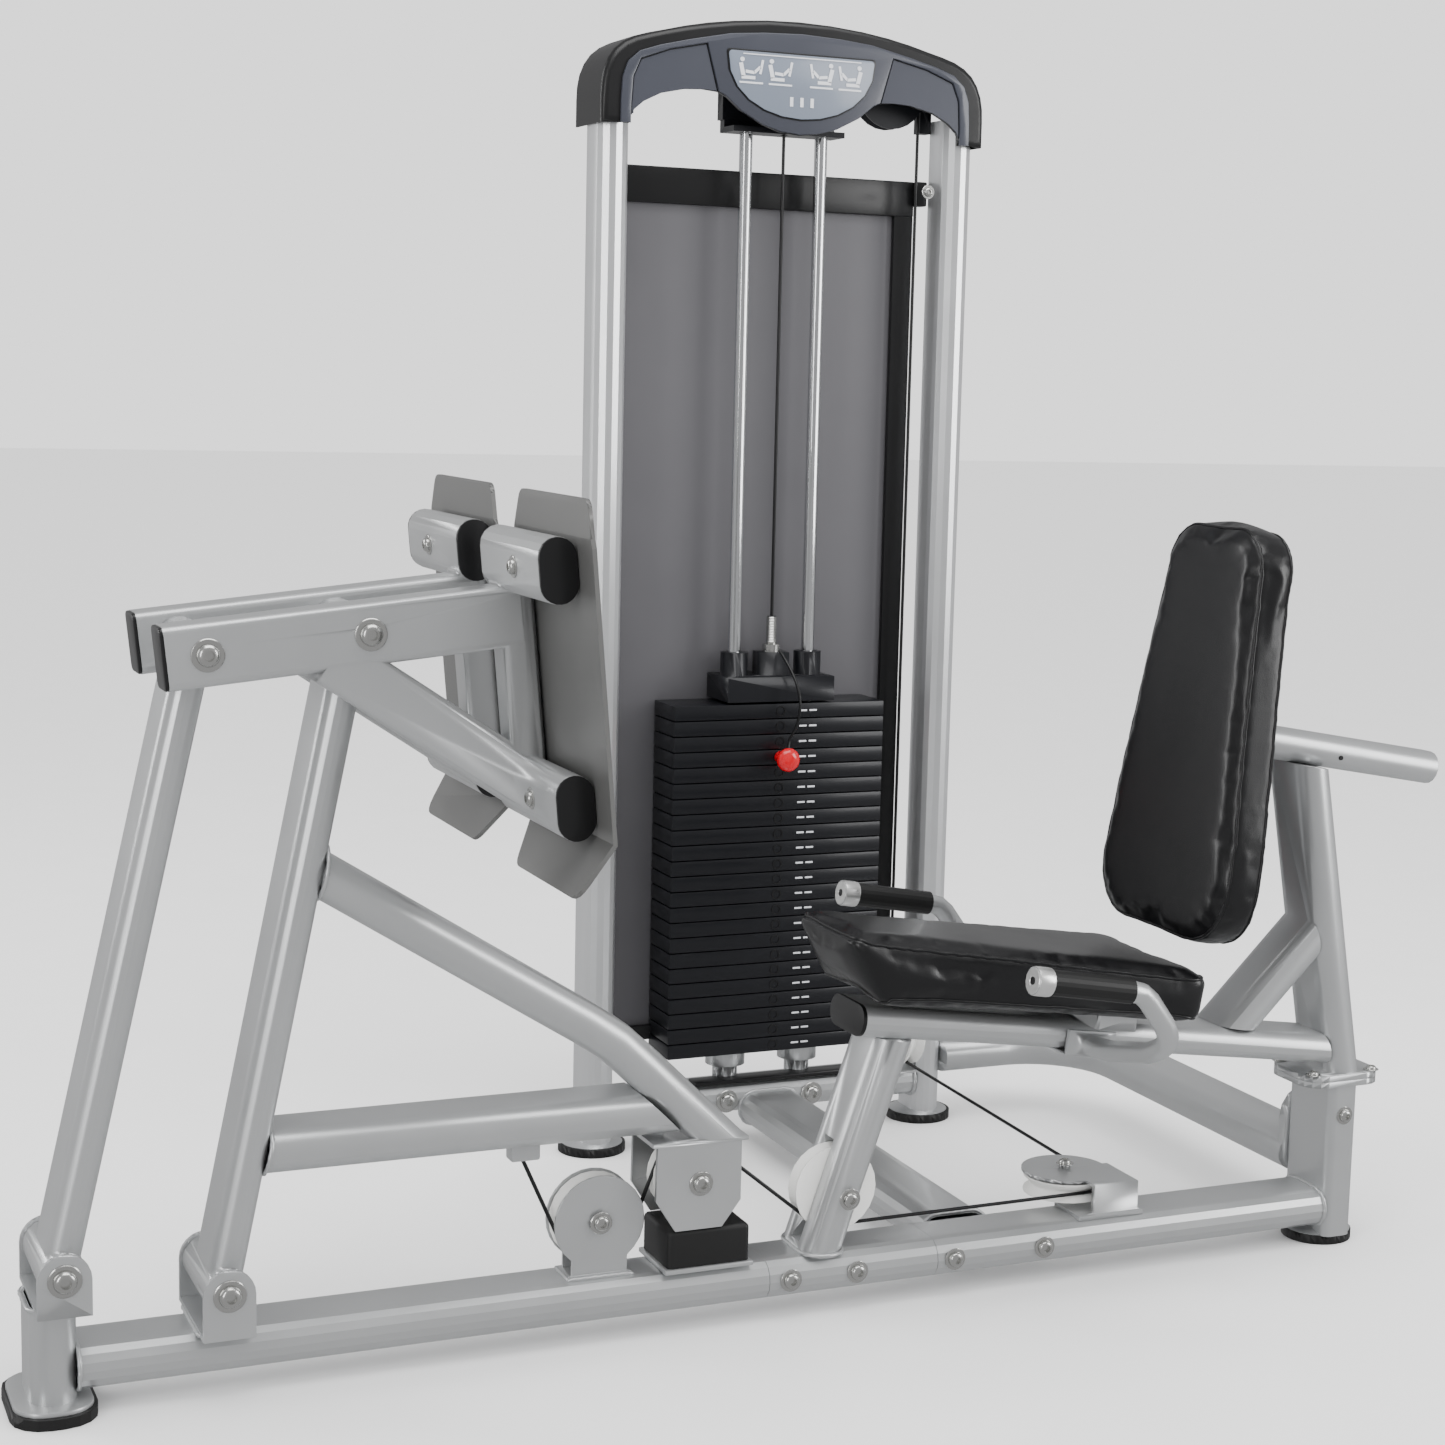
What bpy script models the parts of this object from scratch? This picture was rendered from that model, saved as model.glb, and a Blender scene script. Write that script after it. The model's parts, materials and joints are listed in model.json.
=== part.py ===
"""Seated leg press machine, in metres, +Z up.

The origin is on the floor under the front post. +X runs along the main rail to the seat, +Y runs
from the rail to the weight tower. The user sits at high X, faces -X and pushes the foot plates away.
"""

import math

import bmesh
import bpy
from mathutils import Matrix, Vector

# Gaps and shared sections
GAP = 0.0003
TUBE_WIDE = 0.098
TUBE_THICK = 0.050
WALL = 0.003
ARC_STEPS = 8

# Main rail
RAIL_Z = 0.050
RAIL_TOP = RAIL_Z + TUBE_THICK / 2
FRONT_POST_X = 0.0
FRONT_POST_THICK = 0.052
FRONT_POST_TOP = 0.1245
RAIL_SEAM_1 = 0.844
RAIL_SEAM_2 = 1.074
REAR_POST_X = 1.6825
REAR_POST_SIZE = (0.045, 0.100)
REAR_POST_TOP = 0.222
FOOT_THICK = 0.012

# Swinging links: lower pivots on the rail, upper pivots in the carriage arms
PIVOT_A = Vector((0.008, 0.0, 0.165))
PIVOT_B = Vector((0.184, 0.0, 0.126))
PIVOT_A_TOP = Vector((0.157, 0.0, 0.8405))
PIVOT_B_TOP = Vector((0.331, 0.0, 0.8595))
LINK_WIDE = 0.100
LINK_THICK = 0.040
SLEEVE_R = 0.026
BOLT_R = 0.008
BOLT_HEAD_R = 0.0135
BOLT_HEAD = 0.008
BORE_R = 0.0086
LOOSE_BORE_R = 0.0106
CHEEK_GAP = 0.1332
CHEEK_THICK = 0.006
CHEEK_WIDE = 0.058

# Carriage: two side frames that carry the foot plates
ARM_INNER_Y = 0.0555
ARM_WIDE = 0.050
ARM_HIGH = 0.069
ARM_OVERHANG = 0.043
PLATE_LEAN = math.radians(5.22)
PLATE_LOW = Vector((0.540, 0.0, 0.654))
PLATE_THICK = 0.005
BAR_THICK = 0.043
BAR_HIGH = 0.072
BAR_INNER_Y = 0.048
BAR_OUTER_Y = 0.250

# Swing frame welded to link B, with the moving pulley
SWING_TUBE_Z = 0.2725
SWING_BEND_START = Vector((0.306, 0.0, 0.577))
SWING_BEND = Vector((0.650, 0.0, 0.362))
SWING_END = Vector((0.826, 0.0, 0.190))
SWING_CUT_Z = 0.238
SWING_PLATE_LOW = 0.1285

# Cable and pulleys
CABLE_R = 0.0025
GROOVE_R = 0.050
SWING_GROOVE_R = 0.044
RIM = 0.0045
GROOVE_GAP = 0.0010
PULLEY_WIDE = 0.024
GUARD_GAP = 0.030
GUARD_THICK = 0.003
P1 = Vector((0.634, 0.0, 0.142))
P2 = Vector((0.752, 0.0, 0.185))
P3 = Vector((0.9465, 0.0, 0.147))
P4 = Vector((1.310, GROOVE_R, 0.0985))
ANCHOR = Vector((0.543, 0.0, 0.214))

# Tower
TOWER_X = 1.1467
TOWER_Y = 0.6945
TOWER_HALF = 0.2708
UPRIGHT_WIDE = 0.075
UPRIGHT_THICK = 0.049
UPRIGHT_TOP = 1.528
BASE_Z = 0.066
BASE_HIGH = 0.048
ROD_OFFSET = 0.0593
ROD_R = 0.0095
ROD_TOP = 1.4915
P5 = Vector((1.363, TOWER_Y - GROOVE_R, 0.157))
TOP_PULLEY_Z = 1.565
T1 = Vector((1.363 - GROOVE_R, TOWER_Y, TOP_PULLEY_Z))
T2 = Vector((TOWER_X + GROOVE_R, TOWER_Y, TOP_PULLEY_Z))

# Weight stack
PLATE_WIDTH = 0.339
PLATE_DEPTH = 0.083
STACK_Y = 0.6925
STACK_BOTTOM = 0.1362
PITCH = 0.02305
PLATE_SLIT = 0.0012
RESTING_PLATES = 19
LIFTED_PLATES = 4
STEM_R = 0.012
PIN_R = 0.005
HEAD_LOW = 0.669
HEAD_HIGH = 0.036

# Shroud over the tower's top
SHROUD_FRONT = 0.640
SHROUD_BACK = 0.750
SHROUD_HALF = 0.2990
SHROUD_ROUND = 0.018
SHROUD_WALL = 0.006

# Seat
SEAT_RAIL_FRONT = Vector((0.965, 0.0, 0.365))
SEAT_RAIL_REAR = Vector((1.700, 0.0, 0.266))
SEAT_RAIL_THICK = 0.040
BACK_POST_LOW = Vector((1.695, 0.0, 0.200))
BACK_POST_HIGH = Vector((1.605, 0.0, 0.700))
SLEEVE_ORIGIN = Vector((1.660, 0.0, 0.671))
SLEEVE_SLOPE = math.radians(9.58)
SLEEVE_WIDE = 0.060
SLEEVE_THICK = 0.044

X_AXIS = Vector((1.0, 0.0, 0.0))
Y_AXIS = Vector((0.0, 1.0, 0.0))
Z_AXIS = Vector((0.0, 0.0, 1.0))


# ---------------------------------------------------------------- scene and materials


def clear_scene():
    for obj in list(bpy.data.objects):
        bpy.data.objects.remove(obj, do_unlink=True)


def new_collection(name):
    collection = bpy.data.collections.new(name)
    bpy.context.scene.collection.children.link(collection)
    return collection


def make_material(name, color, metallic, roughness):
    material = bpy.data.materials.new(name)
    material.use_nodes = True
    shader = material.node_tree.nodes["Principled BSDF"]
    shader.inputs["Base Color"].default_value = (*color, 1.0)
    shader.inputs["Metallic"].default_value = metallic
    shader.inputs["Roughness"].default_value = roughness
    return material


clear_scene()
PARTS = new_collection("leg_press_machine")
CUTTERS = new_collection("cutters")
SILVER = make_material("silver_paint", (0.42, 0.43, 0.43), 0.6, 0.35)
BRIGHT = make_material("bright_silver_paint", (0.62, 0.64, 0.66), 0.7, 0.3)
PLATE_GREY = make_material("plate_grey_paint", (0.33, 0.33, 0.32), 0.5, 0.45)
CHROME = make_material("chrome", (0.75, 0.76, 0.78), 1.0, 0.12)
BLACK_STEEL = make_material("black_steel", (0.02, 0.02, 0.025), 0.4, 0.4)
RUBBER = make_material("black_rubber", (0.015, 0.015, 0.015), 0.0, 0.7)
NYLON = make_material("white_nylon", (0.75, 0.75, 0.73), 0.0, 0.4)
SHROUD_GREY = make_material("shroud_plastic", (0.09, 0.1, 0.13), 0.0, 0.35)
PANEL_GREY = make_material("panel_plastic", (0.17, 0.17, 0.19), 0.0, 0.5)
VINYL = make_material("black_vinyl", (0.012, 0.012, 0.014), 0.0, 0.4)
RED = make_material("red_plastic", (0.5, 0.0, 0.01), 0.0, 0.25)
CABLE_BLACK = make_material("cable_coating", (0.015, 0.015, 0.015), 0.0, 0.35)


# ---------------------------------------------------------------- helpers


def add_object(name, data, material, matrix=None):
    obj = bpy.data.objects.new(name, data)
    PARTS.objects.link(obj)
    if matrix is not None:
        obj.matrix_world = matrix
    obj.data.materials.clear()
    obj.data.materials.append(material)
    return obj


def frame_matrix(origin, across, along):
    """Local Z lies along `along`, and local X as near `across` as a square frame allows."""
    z = along.normalized()
    x = (across - z * across.dot(z)).normalized()
    y = z.cross(x)
    matrix = Matrix((x, y, z)).transposed().to_4x4()
    matrix.translation = origin
    return matrix


def stadium(wide, thick):
    """A flat-oval outline: two straight sides along X joined by half circles."""
    radius = thick / 2
    reach = wide / 2 - radius
    points = []
    for side in (1, -1):
        for step in range(ARC_STEPS + 1):
            angle = -math.pi / 2 + math.pi * step / ARC_STEPS
            x = reach + radius * math.cos(angle)
            points.append((side * x, side * radius * math.sin(angle)))
    return points


def rounded_box(wide, high, radius, steps=4):
    points = []
    for quarter in range(4):
        angle = quarter * math.pi / 2
        cx = (wide / 2 - radius) * (1 if quarter in (0, 3) else -1)
        cy = (high / 2 - radius) * (1 if quarter in (0, 1) else -1)
        for step in range(steps + 1):
            a = angle + math.pi / 2 * step / steps
            points.append((cx + radius * math.cos(a), cy + radius * math.sin(a)))
    return points


def prism(name, outline, thickness, matrix, material):
    """A closed mesh between two copies of a flat outline."""
    mesh = bpy.data.meshes.new(name)
    edit = bmesh.new()
    base = edit.faces.new([edit.verts.new((x, y, -thickness / 2)) for x, y in outline])
    made = bmesh.ops.extrude_face_region(edit, geom=[base], use_keep_orig=True)
    moved = [item for item in made["geom"] if isinstance(item, bmesh.types.BMVert)]
    bmesh.ops.translate(edit, verts=moved, vec=(0, 0, thickness))
    bmesh.ops.recalc_face_normals(edit, faces=edit.faces)
    edit.to_mesh(mesh)
    edit.free()
    return add_object(name, mesh, material, matrix)


def circle(cx, cy, radius, steps=20):
    angles = (2 * math.pi * step / steps for step in range(steps))
    return [(cx + radius * math.cos(a), cy + radius * math.sin(a)) for a in angles]


def flat_shape(name, outlines, thickness, matrix, material):
    """An extruded flat outline; outlines after the first are holes in it."""
    curve = bpy.data.curves.new(name, "CURVE")
    curve.dimensions = "2D"
    curve.fill_mode = "BOTH"
    curve.extrude = thickness / 2
    for outline in outlines:
        spline = curve.splines.new("POLY")
        spline.points.add(len(outline) - 1)
        for point, (x, y) in zip(spline.points, outline):
            point.co = (x, y, 0, 1)
        spline.use_cyclic_u = True
    return add_object(name, curve, material, matrix)


def solid_mesh(obj):
    """The object as a closed mesh object, so that it can be cut or joined."""
    bpy.context.view_layer.update()
    graph = bpy.context.evaluated_depsgraph_get()
    mesh = bpy.data.meshes.new_from_object(obj.evaluated_get(graph))
    edit = bmesh.new()
    edit.from_mesh(mesh)
    bmesh.ops.remove_doubles(edit, verts=edit.verts, dist=1e-6)
    bmesh.ops.recalc_face_normals(edit, faces=edit.faces)
    edit.to_mesh(mesh)
    edit.free()
    name = obj.name
    matrix = obj.matrix_world.copy()
    material = obj.data.materials[0]
    bpy.data.objects.remove(obj, do_unlink=True)
    return add_object(name, mesh, material, matrix)


def box(name, low, high, material, radius=0.0):
    size = Vector(high) - Vector(low)
    centre = (Vector(high) + Vector(low)) / 2
    mesh = bpy.data.meshes.new(name)
    edit = bmesh.new()
    bmesh.ops.create_cube(edit, size=1.0, matrix=Matrix.Diagonal((*size, 1.0)))
    edit.to_mesh(mesh)
    edit.free()
    obj = add_object(name, mesh, material, Matrix.Translation(centre))
    if radius:
        add_bevel(obj, radius)
    return obj


def add_bevel(obj, radius, segments=2):
    bevel = obj.modifiers.new("rounding", "BEVEL")
    bevel.width = radius
    bevel.segments = segments
    bevel.limit_method = "ANGLE"


def cylinder(name, start, end, radius, material, steps=20):
    mesh = bpy.data.meshes.new(name)
    edit = bmesh.new()
    bmesh.ops.create_cone(
        edit, cap_ends=True, segments=steps, radius1=radius, radius2=radius, depth=(end - start).length
    )
    edit.to_mesh(mesh)
    edit.free()
    across = X_AXIS if abs((end - start).normalized().x) < 0.9 else Y_AXIS
    return add_object(name, mesh, material, frame_matrix((start + end) / 2, across, end - start))


def beam(name, start, end, wide_axis, wide, high, radius, material):
    """A solid bar of rounded rectangular section."""
    outline = rounded_box(wide, high, radius)
    matrix = frame_matrix((start + end) / 2, wide_axis, end - start)
    return solid_mesh(flat_shape(name, [outline], (end - start).length, matrix, material))


def oval_tube(name, start, end, wide_axis, material, wide=TUBE_WIDE, thick=TUBE_THICK, wall=WALL):
    """A straight flat-oval tube, hollow and open at both ends unless its wall is 0."""
    outlines = [stadium(wide, thick)]
    if wall:
        outlines.append(stadium(wide - 2 * wall, thick - 2 * wall))
    matrix = frame_matrix((start + end) / 2, wide_axis, end - start)
    return flat_shape(name, outlines, (end - start).length, matrix, material)


def swept_oval(name, points, wide, thick, tilt, material):
    """A solid bent tube of flat-oval section that follows the points."""
    section_curve = bpy.data.curves.new(name + "_section", "CURVE")
    section_curve.dimensions = "2D"
    section_curve.fill_mode = "NONE"
    outline = stadium(wide, thick)
    spline = section_curve.splines.new("POLY")
    spline.points.add(len(outline) - 1)
    for point, (x, y) in zip(spline.points, outline):
        point.co = (x, y, 0, 1)
    spline.use_cyclic_u = True
    section = bpy.data.objects.new(name + "_section", section_curve)
    hide_helper(section)
    curve = path_curve(name, points)
    curve.twist_mode = "Z_UP"
    curve.bevel_mode = "OBJECT"
    curve.bevel_object = section
    for point in curve.splines[0].points:
        point.tilt = tilt
    return solid_mesh(add_object(name, curve, material))


def path_curve(name, points):
    curve = bpy.data.curves.new(name, "CURVE")
    curve.dimensions = "3D"
    curve.use_fill_caps = True
    spline = curve.splines.new("POLY")
    spline.points.add(len(points) - 1)
    for point, place in zip(spline.points, points):
        point.co = (*place, 1)
    return curve


def round_wire(name, points, radius, material, resolution=2):
    curve = path_curve(name, points)
    curve.bevel_depth = radius
    curve.bevel_resolution = resolution
    return add_object(name, curve, material)


def turned(name, profile, origin, axis, material, steps=24, closed=False):
    """A turned solid; the profile of (radius, height) runs down its outer side."""
    mesh = bpy.data.meshes.new(name)
    edit = bmesh.new()
    verts = [edit.verts.new((radius, 0, height)) for radius, height in profile]
    for first, second in zip(verts, verts[1:]):
        edit.edges.new((first, second))
    if closed:
        edit.edges.new((verts[-1], verts[0]))
    edit.to_mesh(mesh)
    edit.free()
    across = X_AXIS if abs(axis.x) < 0.9 else Y_AXIS
    obj = add_object(name, mesh, material, frame_matrix(origin, across, axis))
    screw = obj.modifiers.new("turn", "SCREW")
    screw.steps = steps
    screw.render_steps = steps
    screw.use_merge_vertices = True
    screw.merge_threshold = 0.00005
    return obj


def hide_helper(obj):
    for collection in list(obj.users_collection):
        collection.objects.unlink(obj)
    CUTTERS.objects.link(obj)
    obj.hide_render = True
    obj.display_type = "WIRE"


def combine(obj, other, operation):
    hide_helper(other)
    boolean = obj.modifiers.new(operation.lower(), "BOOLEAN")
    boolean.operation = operation
    boolean.object = other
    return obj


def weld(obj, *others):
    for other in others:
        combine(obj, other, "UNION")
    return obj


def cut(obj, *others):
    for other in others:
        combine(obj, other, "DIFFERENCE")
    return obj


def trim(obj, point, normal, reach=1.0):
    """Cuts away what lies beyond the plane through the point, on the normal's side."""
    cutter = box(obj.name + "_trim", (-reach, -reach, 0), (reach, reach, reach), SILVER)
    across = Y_AXIS if abs(normal.y) < 0.9 else X_AXIS
    plane = frame_matrix(point, across, normal)
    cutter.matrix_world = plane @ Matrix.Translation((0, 0, reach / 2))
    return cut(obj, cutter)


def arc(centre, radius, first, last, steps, u_axis, v_axis):
    """Points on a circle in the plane of two axes, angles in degrees."""
    points = []
    for step in range(steps + 1):
        angle = math.radians(first + (last - first) * step / steps)
        points.append(centre + u_axis * radius * math.cos(angle) + v_axis * radius * math.sin(angle))
    return points


# ---------------------------------------------------------------- main rail, posts and feet


def build_rail():
    post_face = FRONT_POST_X + FRONT_POST_THICK / 2
    rear_face = REAR_POST_X - REAR_POST_SIZE[0] / 2
    spans = {
        "rail_front": (post_face + GAP, RAIL_SEAM_1 - GAP),
        "rail_middle": (RAIL_SEAM_1 + GAP, RAIL_SEAM_2 - GAP),
        "rail_rear": (RAIL_SEAM_2 + GAP, rear_face - GAP),
    }
    for name, (low, high) in spans.items():
        tube = oval_tube(name, Vector((low, 0, RAIL_Z)), Vector((high, 0, RAIL_Z)), Y_AXIS, SILVER)
        if name == "rail_rear":
            add_turn_bracket(solid_mesh(tube))


def build_front_post():
    foot = Vector((FRONT_POST_X, 0, FOOT_THICK + GAP))
    top = Vector((FRONT_POST_X, 0, FRONT_POST_TOP))
    post = solid_mesh(oval_tube("front_post", foot, top, Y_AXIS, SILVER, 0.100, FRONT_POST_THICK))
    weld(post, build_clevis("front_clevis", PIVOT_A, FRONT_POST_TOP - 0.001))
    matrix = frame_matrix(Vector((FRONT_POST_X, 0, FOOT_THICK / 2)), Y_AXIS, Z_AXIS)
    flat_shape("front_foot", [rounded_box(0.150, 0.094, 0.040)], FOOT_THICK, matrix, RUBBER)


def build_rear_post():
    centre = Vector((REAR_POST_X, 0, 0))
    start = centre + Z_AXIS * (FOOT_THICK + GAP)
    end = centre + Z_AXIS * (REAR_POST_TOP + 0.002)
    post = beam("rear_post", start, end, X_AXIS, *REAR_POST_SIZE, 0.012, SILVER)
    flange_matrix = frame_matrix(centre + Z_AXIS * (REAR_POST_TOP + 0.004), X_AXIS, Z_AXIS)
    outline = rounded_box(0.120, 0.108, 0.030)
    flange = flat_shape("rear_post_flange", [outline], 0.008, flange_matrix, SILVER)
    weld(post, solid_mesh(flange))
    foot_top = centre + Z_AXIS * FOOT_THICK
    cylinder("rear_foot", centre, foot_top, 0.047, RUBBER, 32)


# ---------------------------------------------------------------- links and their pivots


def build_clevis(name, pivot, base_z):
    """A base plate with two upright cheeks that hold a link's lower pivot bolt."""
    half = CHEEK_GAP / 2
    top = circle_top_outline(CHEEK_WIDE, pivot.z - base_z)
    base_low = (pivot.x - CHEEK_WIDE / 2, -half - CHEEK_THICK, base_z)
    base_high = (pivot.x + CHEEK_WIDE / 2, half + CHEEK_THICK, base_z + CHEEK_THICK)
    clevis = box(name, base_low, base_high, SILVER)
    for side in (-1, 1):
        centre = Vector((pivot.x, side * (half + CHEEK_THICK / 2), pivot.z))
        matrix = frame_matrix(centre, X_AXIS, Y_AXIS)
        hole = circle(0, 0, BOLT_R + GAP)
        cheek = flat_shape(name + "_cheek", [top, hole], CHEEK_THICK, matrix, SILVER)
        weld(clevis, solid_mesh(cheek))
    return clevis


def circle_top_outline(wide, drop):
    """A plate with a half-round end round the origin and a square end `drop` away, local +Y."""
    radius = wide / 2
    points = [(radius, drop), (-radius, drop)]
    for step in range(13):
        angle = math.pi + math.pi * step / 12
        points.append((radius * math.cos(angle), radius * math.sin(angle)))
    return points


def build_pivot_bolt(name, pivot, half_span):
    """A shaft with a domed head at each end; half_span reaches the faces that the heads bear on."""
    face = half_span + GAP
    profile = [
        (0.0, face + BOLT_HEAD),
        (BOLT_HEAD_R * 0.8, face + BOLT_HEAD),
        (BOLT_HEAD_R, face + BOLT_HEAD * 0.5),
        (BOLT_HEAD_R, face),
        (BOLT_R, face),
    ]
    mirrored = [(radius, -height) for radius, height in reversed(profile)]
    turned(name, profile + mirrored, pivot, Y_AXIS, CHROME)


def build_link(name, low, high, high_bore):
    """A flat-oval tube with a bearing sleeve across each end."""
    link = solid_mesh(oval_tube(name, low, high, Y_AXIS, SILVER, LINK_WIDE, LINK_THICK, 0))
    low_half = CHEEK_GAP / 2 - 0.0006
    high_half = ARM_INNER_Y - 0.0006
    for end, half in ((low, low_half), (high, high_half)):
        weld(link, cylinder(name + "_sleeve", end - Y_AXIS * half, end + Y_AXIS * half, SLEEVE_R, SILVER, 28))
    for end, radius in ((low, BORE_R), (high, high_bore)):
        cut(link, cylinder(name + "_bore", end - Y_AXIS * 0.1, end + Y_AXIS * 0.1, radius, SILVER, 24))


def build_links():
    build_clevis("rail_clevis", PIVOT_B, RAIL_TOP + GAP)
    lower_span = CHEEK_GAP / 2 + CHEEK_THICK
    upper_span = ARM_INNER_Y + ARM_WIDE
    build_pivot_bolt("front_pivot_bolt", PIVOT_A, lower_span)
    build_pivot_bolt("rail_pivot_bolt", PIVOT_B, lower_span)
    build_pivot_bolt("front_arm_bolt", PIVOT_A_TOP, upper_span)
    build_pivot_bolt("rear_arm_bolt", PIVOT_B_TOP, upper_span)
    build_link("front_link", PIVOT_A, PIVOT_A_TOP, LOOSE_BORE_R)
    build_link("rear_link", PIVOT_B, PIVOT_B_TOP, BORE_R)


# ---------------------------------------------------------------- swing frame on the rear link


def rear_link_face():
    """A point on the rear link's rear face and the outward normal there."""
    along = (PIVOT_B_TOP - PIVOT_B).normalized()
    normal = Y_AXIS.cross(along).normalized()
    return PIVOT_B + normal * (LINK_THICK / 2 + GAP), normal


def build_swing_frame():
    point, normal = rear_link_face()
    along = (SWING_BEND - SWING_BEND_START).normalized()
    start = SWING_BEND_START - along * 0.06
    bend = [
        SWING_BEND - along * 0.05,
        SWING_BEND + (SWING_BEND_START + SWING_END - SWING_BEND * 2).normalized() * 0.003,
        SWING_BEND + (SWING_END - SWING_BEND).normalized() * 0.05,
    ]
    path = [start, *bend, SWING_END]
    diagonal = swept_oval("swing_diagonal", path, TUBE_WIDE, TUBE_THICK, 0.0, SILVER)
    trim(diagonal, point, -normal)
    trim(diagonal, Vector((0.8, 0, SWING_CUT_Z + GAP)), -Z_AXIS)
    tube_start = Vector((0.19, 0, SWING_TUBE_Z))
    tube_end = Vector((0.80, 0, SWING_TUBE_Z))
    lower = solid_mesh(oval_tube("swing_lower_tube", tube_start, tube_end, Y_AXIS, SILVER))
    trim(lower, point, -normal)
    down = (SWING_END - SWING_BEND).normalized()
    side = Vector((down.z, 0, -down.x))
    trim(lower, SWING_BEND + side * (TUBE_THICK / 2 + 0.0008), -side)
    weld(lower, build_anchor())
    weld(diagonal, build_swing_bracket())


def build_swing_bracket():
    """Two plates under the swing frame's end, which hold the moving pulley's axle."""
    half = 0.042
    top_z = SWING_CUT_Z + 0.001
    low = SWING_PLATE_LOW
    profile = [(0.696, top_z), (0.804, top_z), (0.804, 0.160), (0.780, low), (0.720, low), (0.695, 0.168)]
    top = box("swing_flange", (0.690, -half - 0.004, top_z - 0.005), (0.812, half + 0.004, top_z), SILVER)
    outline = [(x - P2.x, z - P2.z) for x, z in profile]
    for side in (-1, 1):
        matrix = frame_matrix(Vector((P2.x, side * half, P2.z)), X_AXIS, -Y_AXIS)
        weld(top, solid_mesh(flat_shape("swing_plate", [outline], 0.006, matrix, SILVER)))
    weld(top, cylinder("swing_axle", P2 - Y_AXIS * half, P2 + Y_AXIS * half, BOLT_R, SILVER))
    return top


def build_anchor():
    """The block under the lower tube that the cable's end hangs from."""
    low = (ANCHOR.x - 0.018, -0.012, ANCHOR.z + 0.010)
    high = (ANCHOR.x + 0.018, 0.012, SWING_TUBE_Z - TUBE_THICK / 2 + 0.002)
    return box("cable_anchor", low, high, SILVER, 0.003)


# ---------------------------------------------------------------- carriage with the foot plates


def plate_axes():
    up = Vector((-math.sin(PLATE_LEAN), 0, math.cos(PLATE_LEAN)))
    back = Vector((-math.cos(PLATE_LEAN), 0, -math.sin(PLATE_LEAN)))
    return up, back


def build_carriage_side(name, side):
    """Arm, brace, upright and two crossbars welded into one flat frame."""
    up, back = plate_axes()
    lane = Y_AXIS * side * (ARM_INNER_Y + ARM_WIDE / 2)
    along = (PIVOT_B_TOP - PIVOT_A_TOP).normalized()
    front = PIVOT_A_TOP - along * ARM_OVERHANG + lane
    rear = PIVOT_A_TOP + along * 0.345 + lane
    arm = beam(name, front, rear, Y_AXIS, ARM_WIDE, ARM_HIGH, 0.009, SILVER)
    brace_top = Vector((0.290, 0, 0.834)) + lane
    brace_low = Vector((0.530, 0, 0.676)) + lane
    brace = beam(name + "_brace", brace_top, brace_low, Y_AXIS, ARM_WIDE - 0.002, 0.060, 0.009, SILVER)
    middle = PLATE_LOW + back * (BAR_THICK / 2 + 0.0005)
    post_low = middle + up * 0.02 + lane
    post_high = middle + up * 0.30 + lane
    post = beam(name + "_upright", post_low, post_high, Y_AXIS, ARM_WIDE - 0.004, 0.040, 0.008, SILVER)
    weld(arm, brace, post)
    for height in (0.034, 0.288):
        centre = middle + up * height
        inner = centre + Y_AXIS * side * BAR_INNER_Y
        outer = centre + Y_AXIS * side * BAR_OUTER_Y
        bar = oval_tube(name + "_crossbar", inner, outer, up, SILVER, BAR_HIGH, BAR_THICK, 0)
        weld(arm, solid_mesh(bar))
    trim(arm, PLATE_LOW, -back)
    for pivot in (PIVOT_A_TOP, PIVOT_B_TOP):
        low = pivot + Y_AXIS * side * 0.04
        high = pivot + Y_AXIS * side * 0.13
        cut(arm, cylinder(name + "_hole", low, high, BOLT_R + GAP, SILVER, 24))


def build_foot_plate(name, side):
    """A sheet with rounded corners, folded back along its lower wing and forward at its top."""
    up, back = plate_axes()
    inner, outer = 0.035, 0.300
    fold_low, fold_high = 0.0, 0.322
    outline = foot_plate_outline(inner, outer, fold_low, fold_high)
    mesh = bpy.data.meshes.new(name)
    edit = bmesh.new()
    edit.faces.new([edit.verts.new((0, side * y, s)) for y, s in outline])
    for level in (fold_low, fold_high):
        parts = list(edit.verts) + list(edit.edges) + list(edit.faces)
        bmesh.ops.bisect_plane(edit, geom=parts, plane_co=(0, 0, level), plane_no=(0, 0, 1))
    folds = ((fold_low, -1, math.radians(-37)), (fold_high, 1, math.radians(6)))
    for level, direction, angle in folds:
        wing = [v for v in edit.verts if (v.co.z - level) * direction > 1e-5]
        turn = Matrix.Rotation(angle * direction, 3, "Y")
        bmesh.ops.rotate(edit, verts=wing, cent=(0, 0, level), matrix=turn)
    edit.normal_update()
    edit.faces.ensure_lookup_table()
    if edit.faces[0].normal.x < 0:
        bmesh.ops.reverse_faces(edit, faces=list(edit.faces))
    edit.to_mesh(mesh)
    edit.free()
    across = back * -1
    matrix = Matrix((across, Y_AXIS, up)).transposed().to_4x4()
    matrix.translation = PLATE_LOW + across * 0.0003
    plate = add_object(name, mesh, PLATE_GREY, matrix)
    solid = plate.modifiers.new("sheet", "SOLIDIFY")
    solid.thickness = PLATE_THICK
    solid.offset = 1.0


def foot_plate_outline(inner, outer, fold_low, fold_high):
    """(across, along) corners of the flat sheet, with round corners at both wings' ends."""
    corners = [
        ((outer, fold_low), 0.0),
        ((outer, fold_high - 0.01), 0.0),
        ((outer - 0.018, fold_high + 0.041), 0.018),
        ((inner + 0.020, fold_high + 0.041), 0.018),
        ((inner, fold_high - 0.01), 0.0),
        ((inner, fold_low), 0.0),
        ((inner + 0.045, fold_low - 0.070), 0.026),
        ((outer - 0.014, fold_low - 0.070), 0.026),
    ]
    return rounded_corners(corners)


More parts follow.
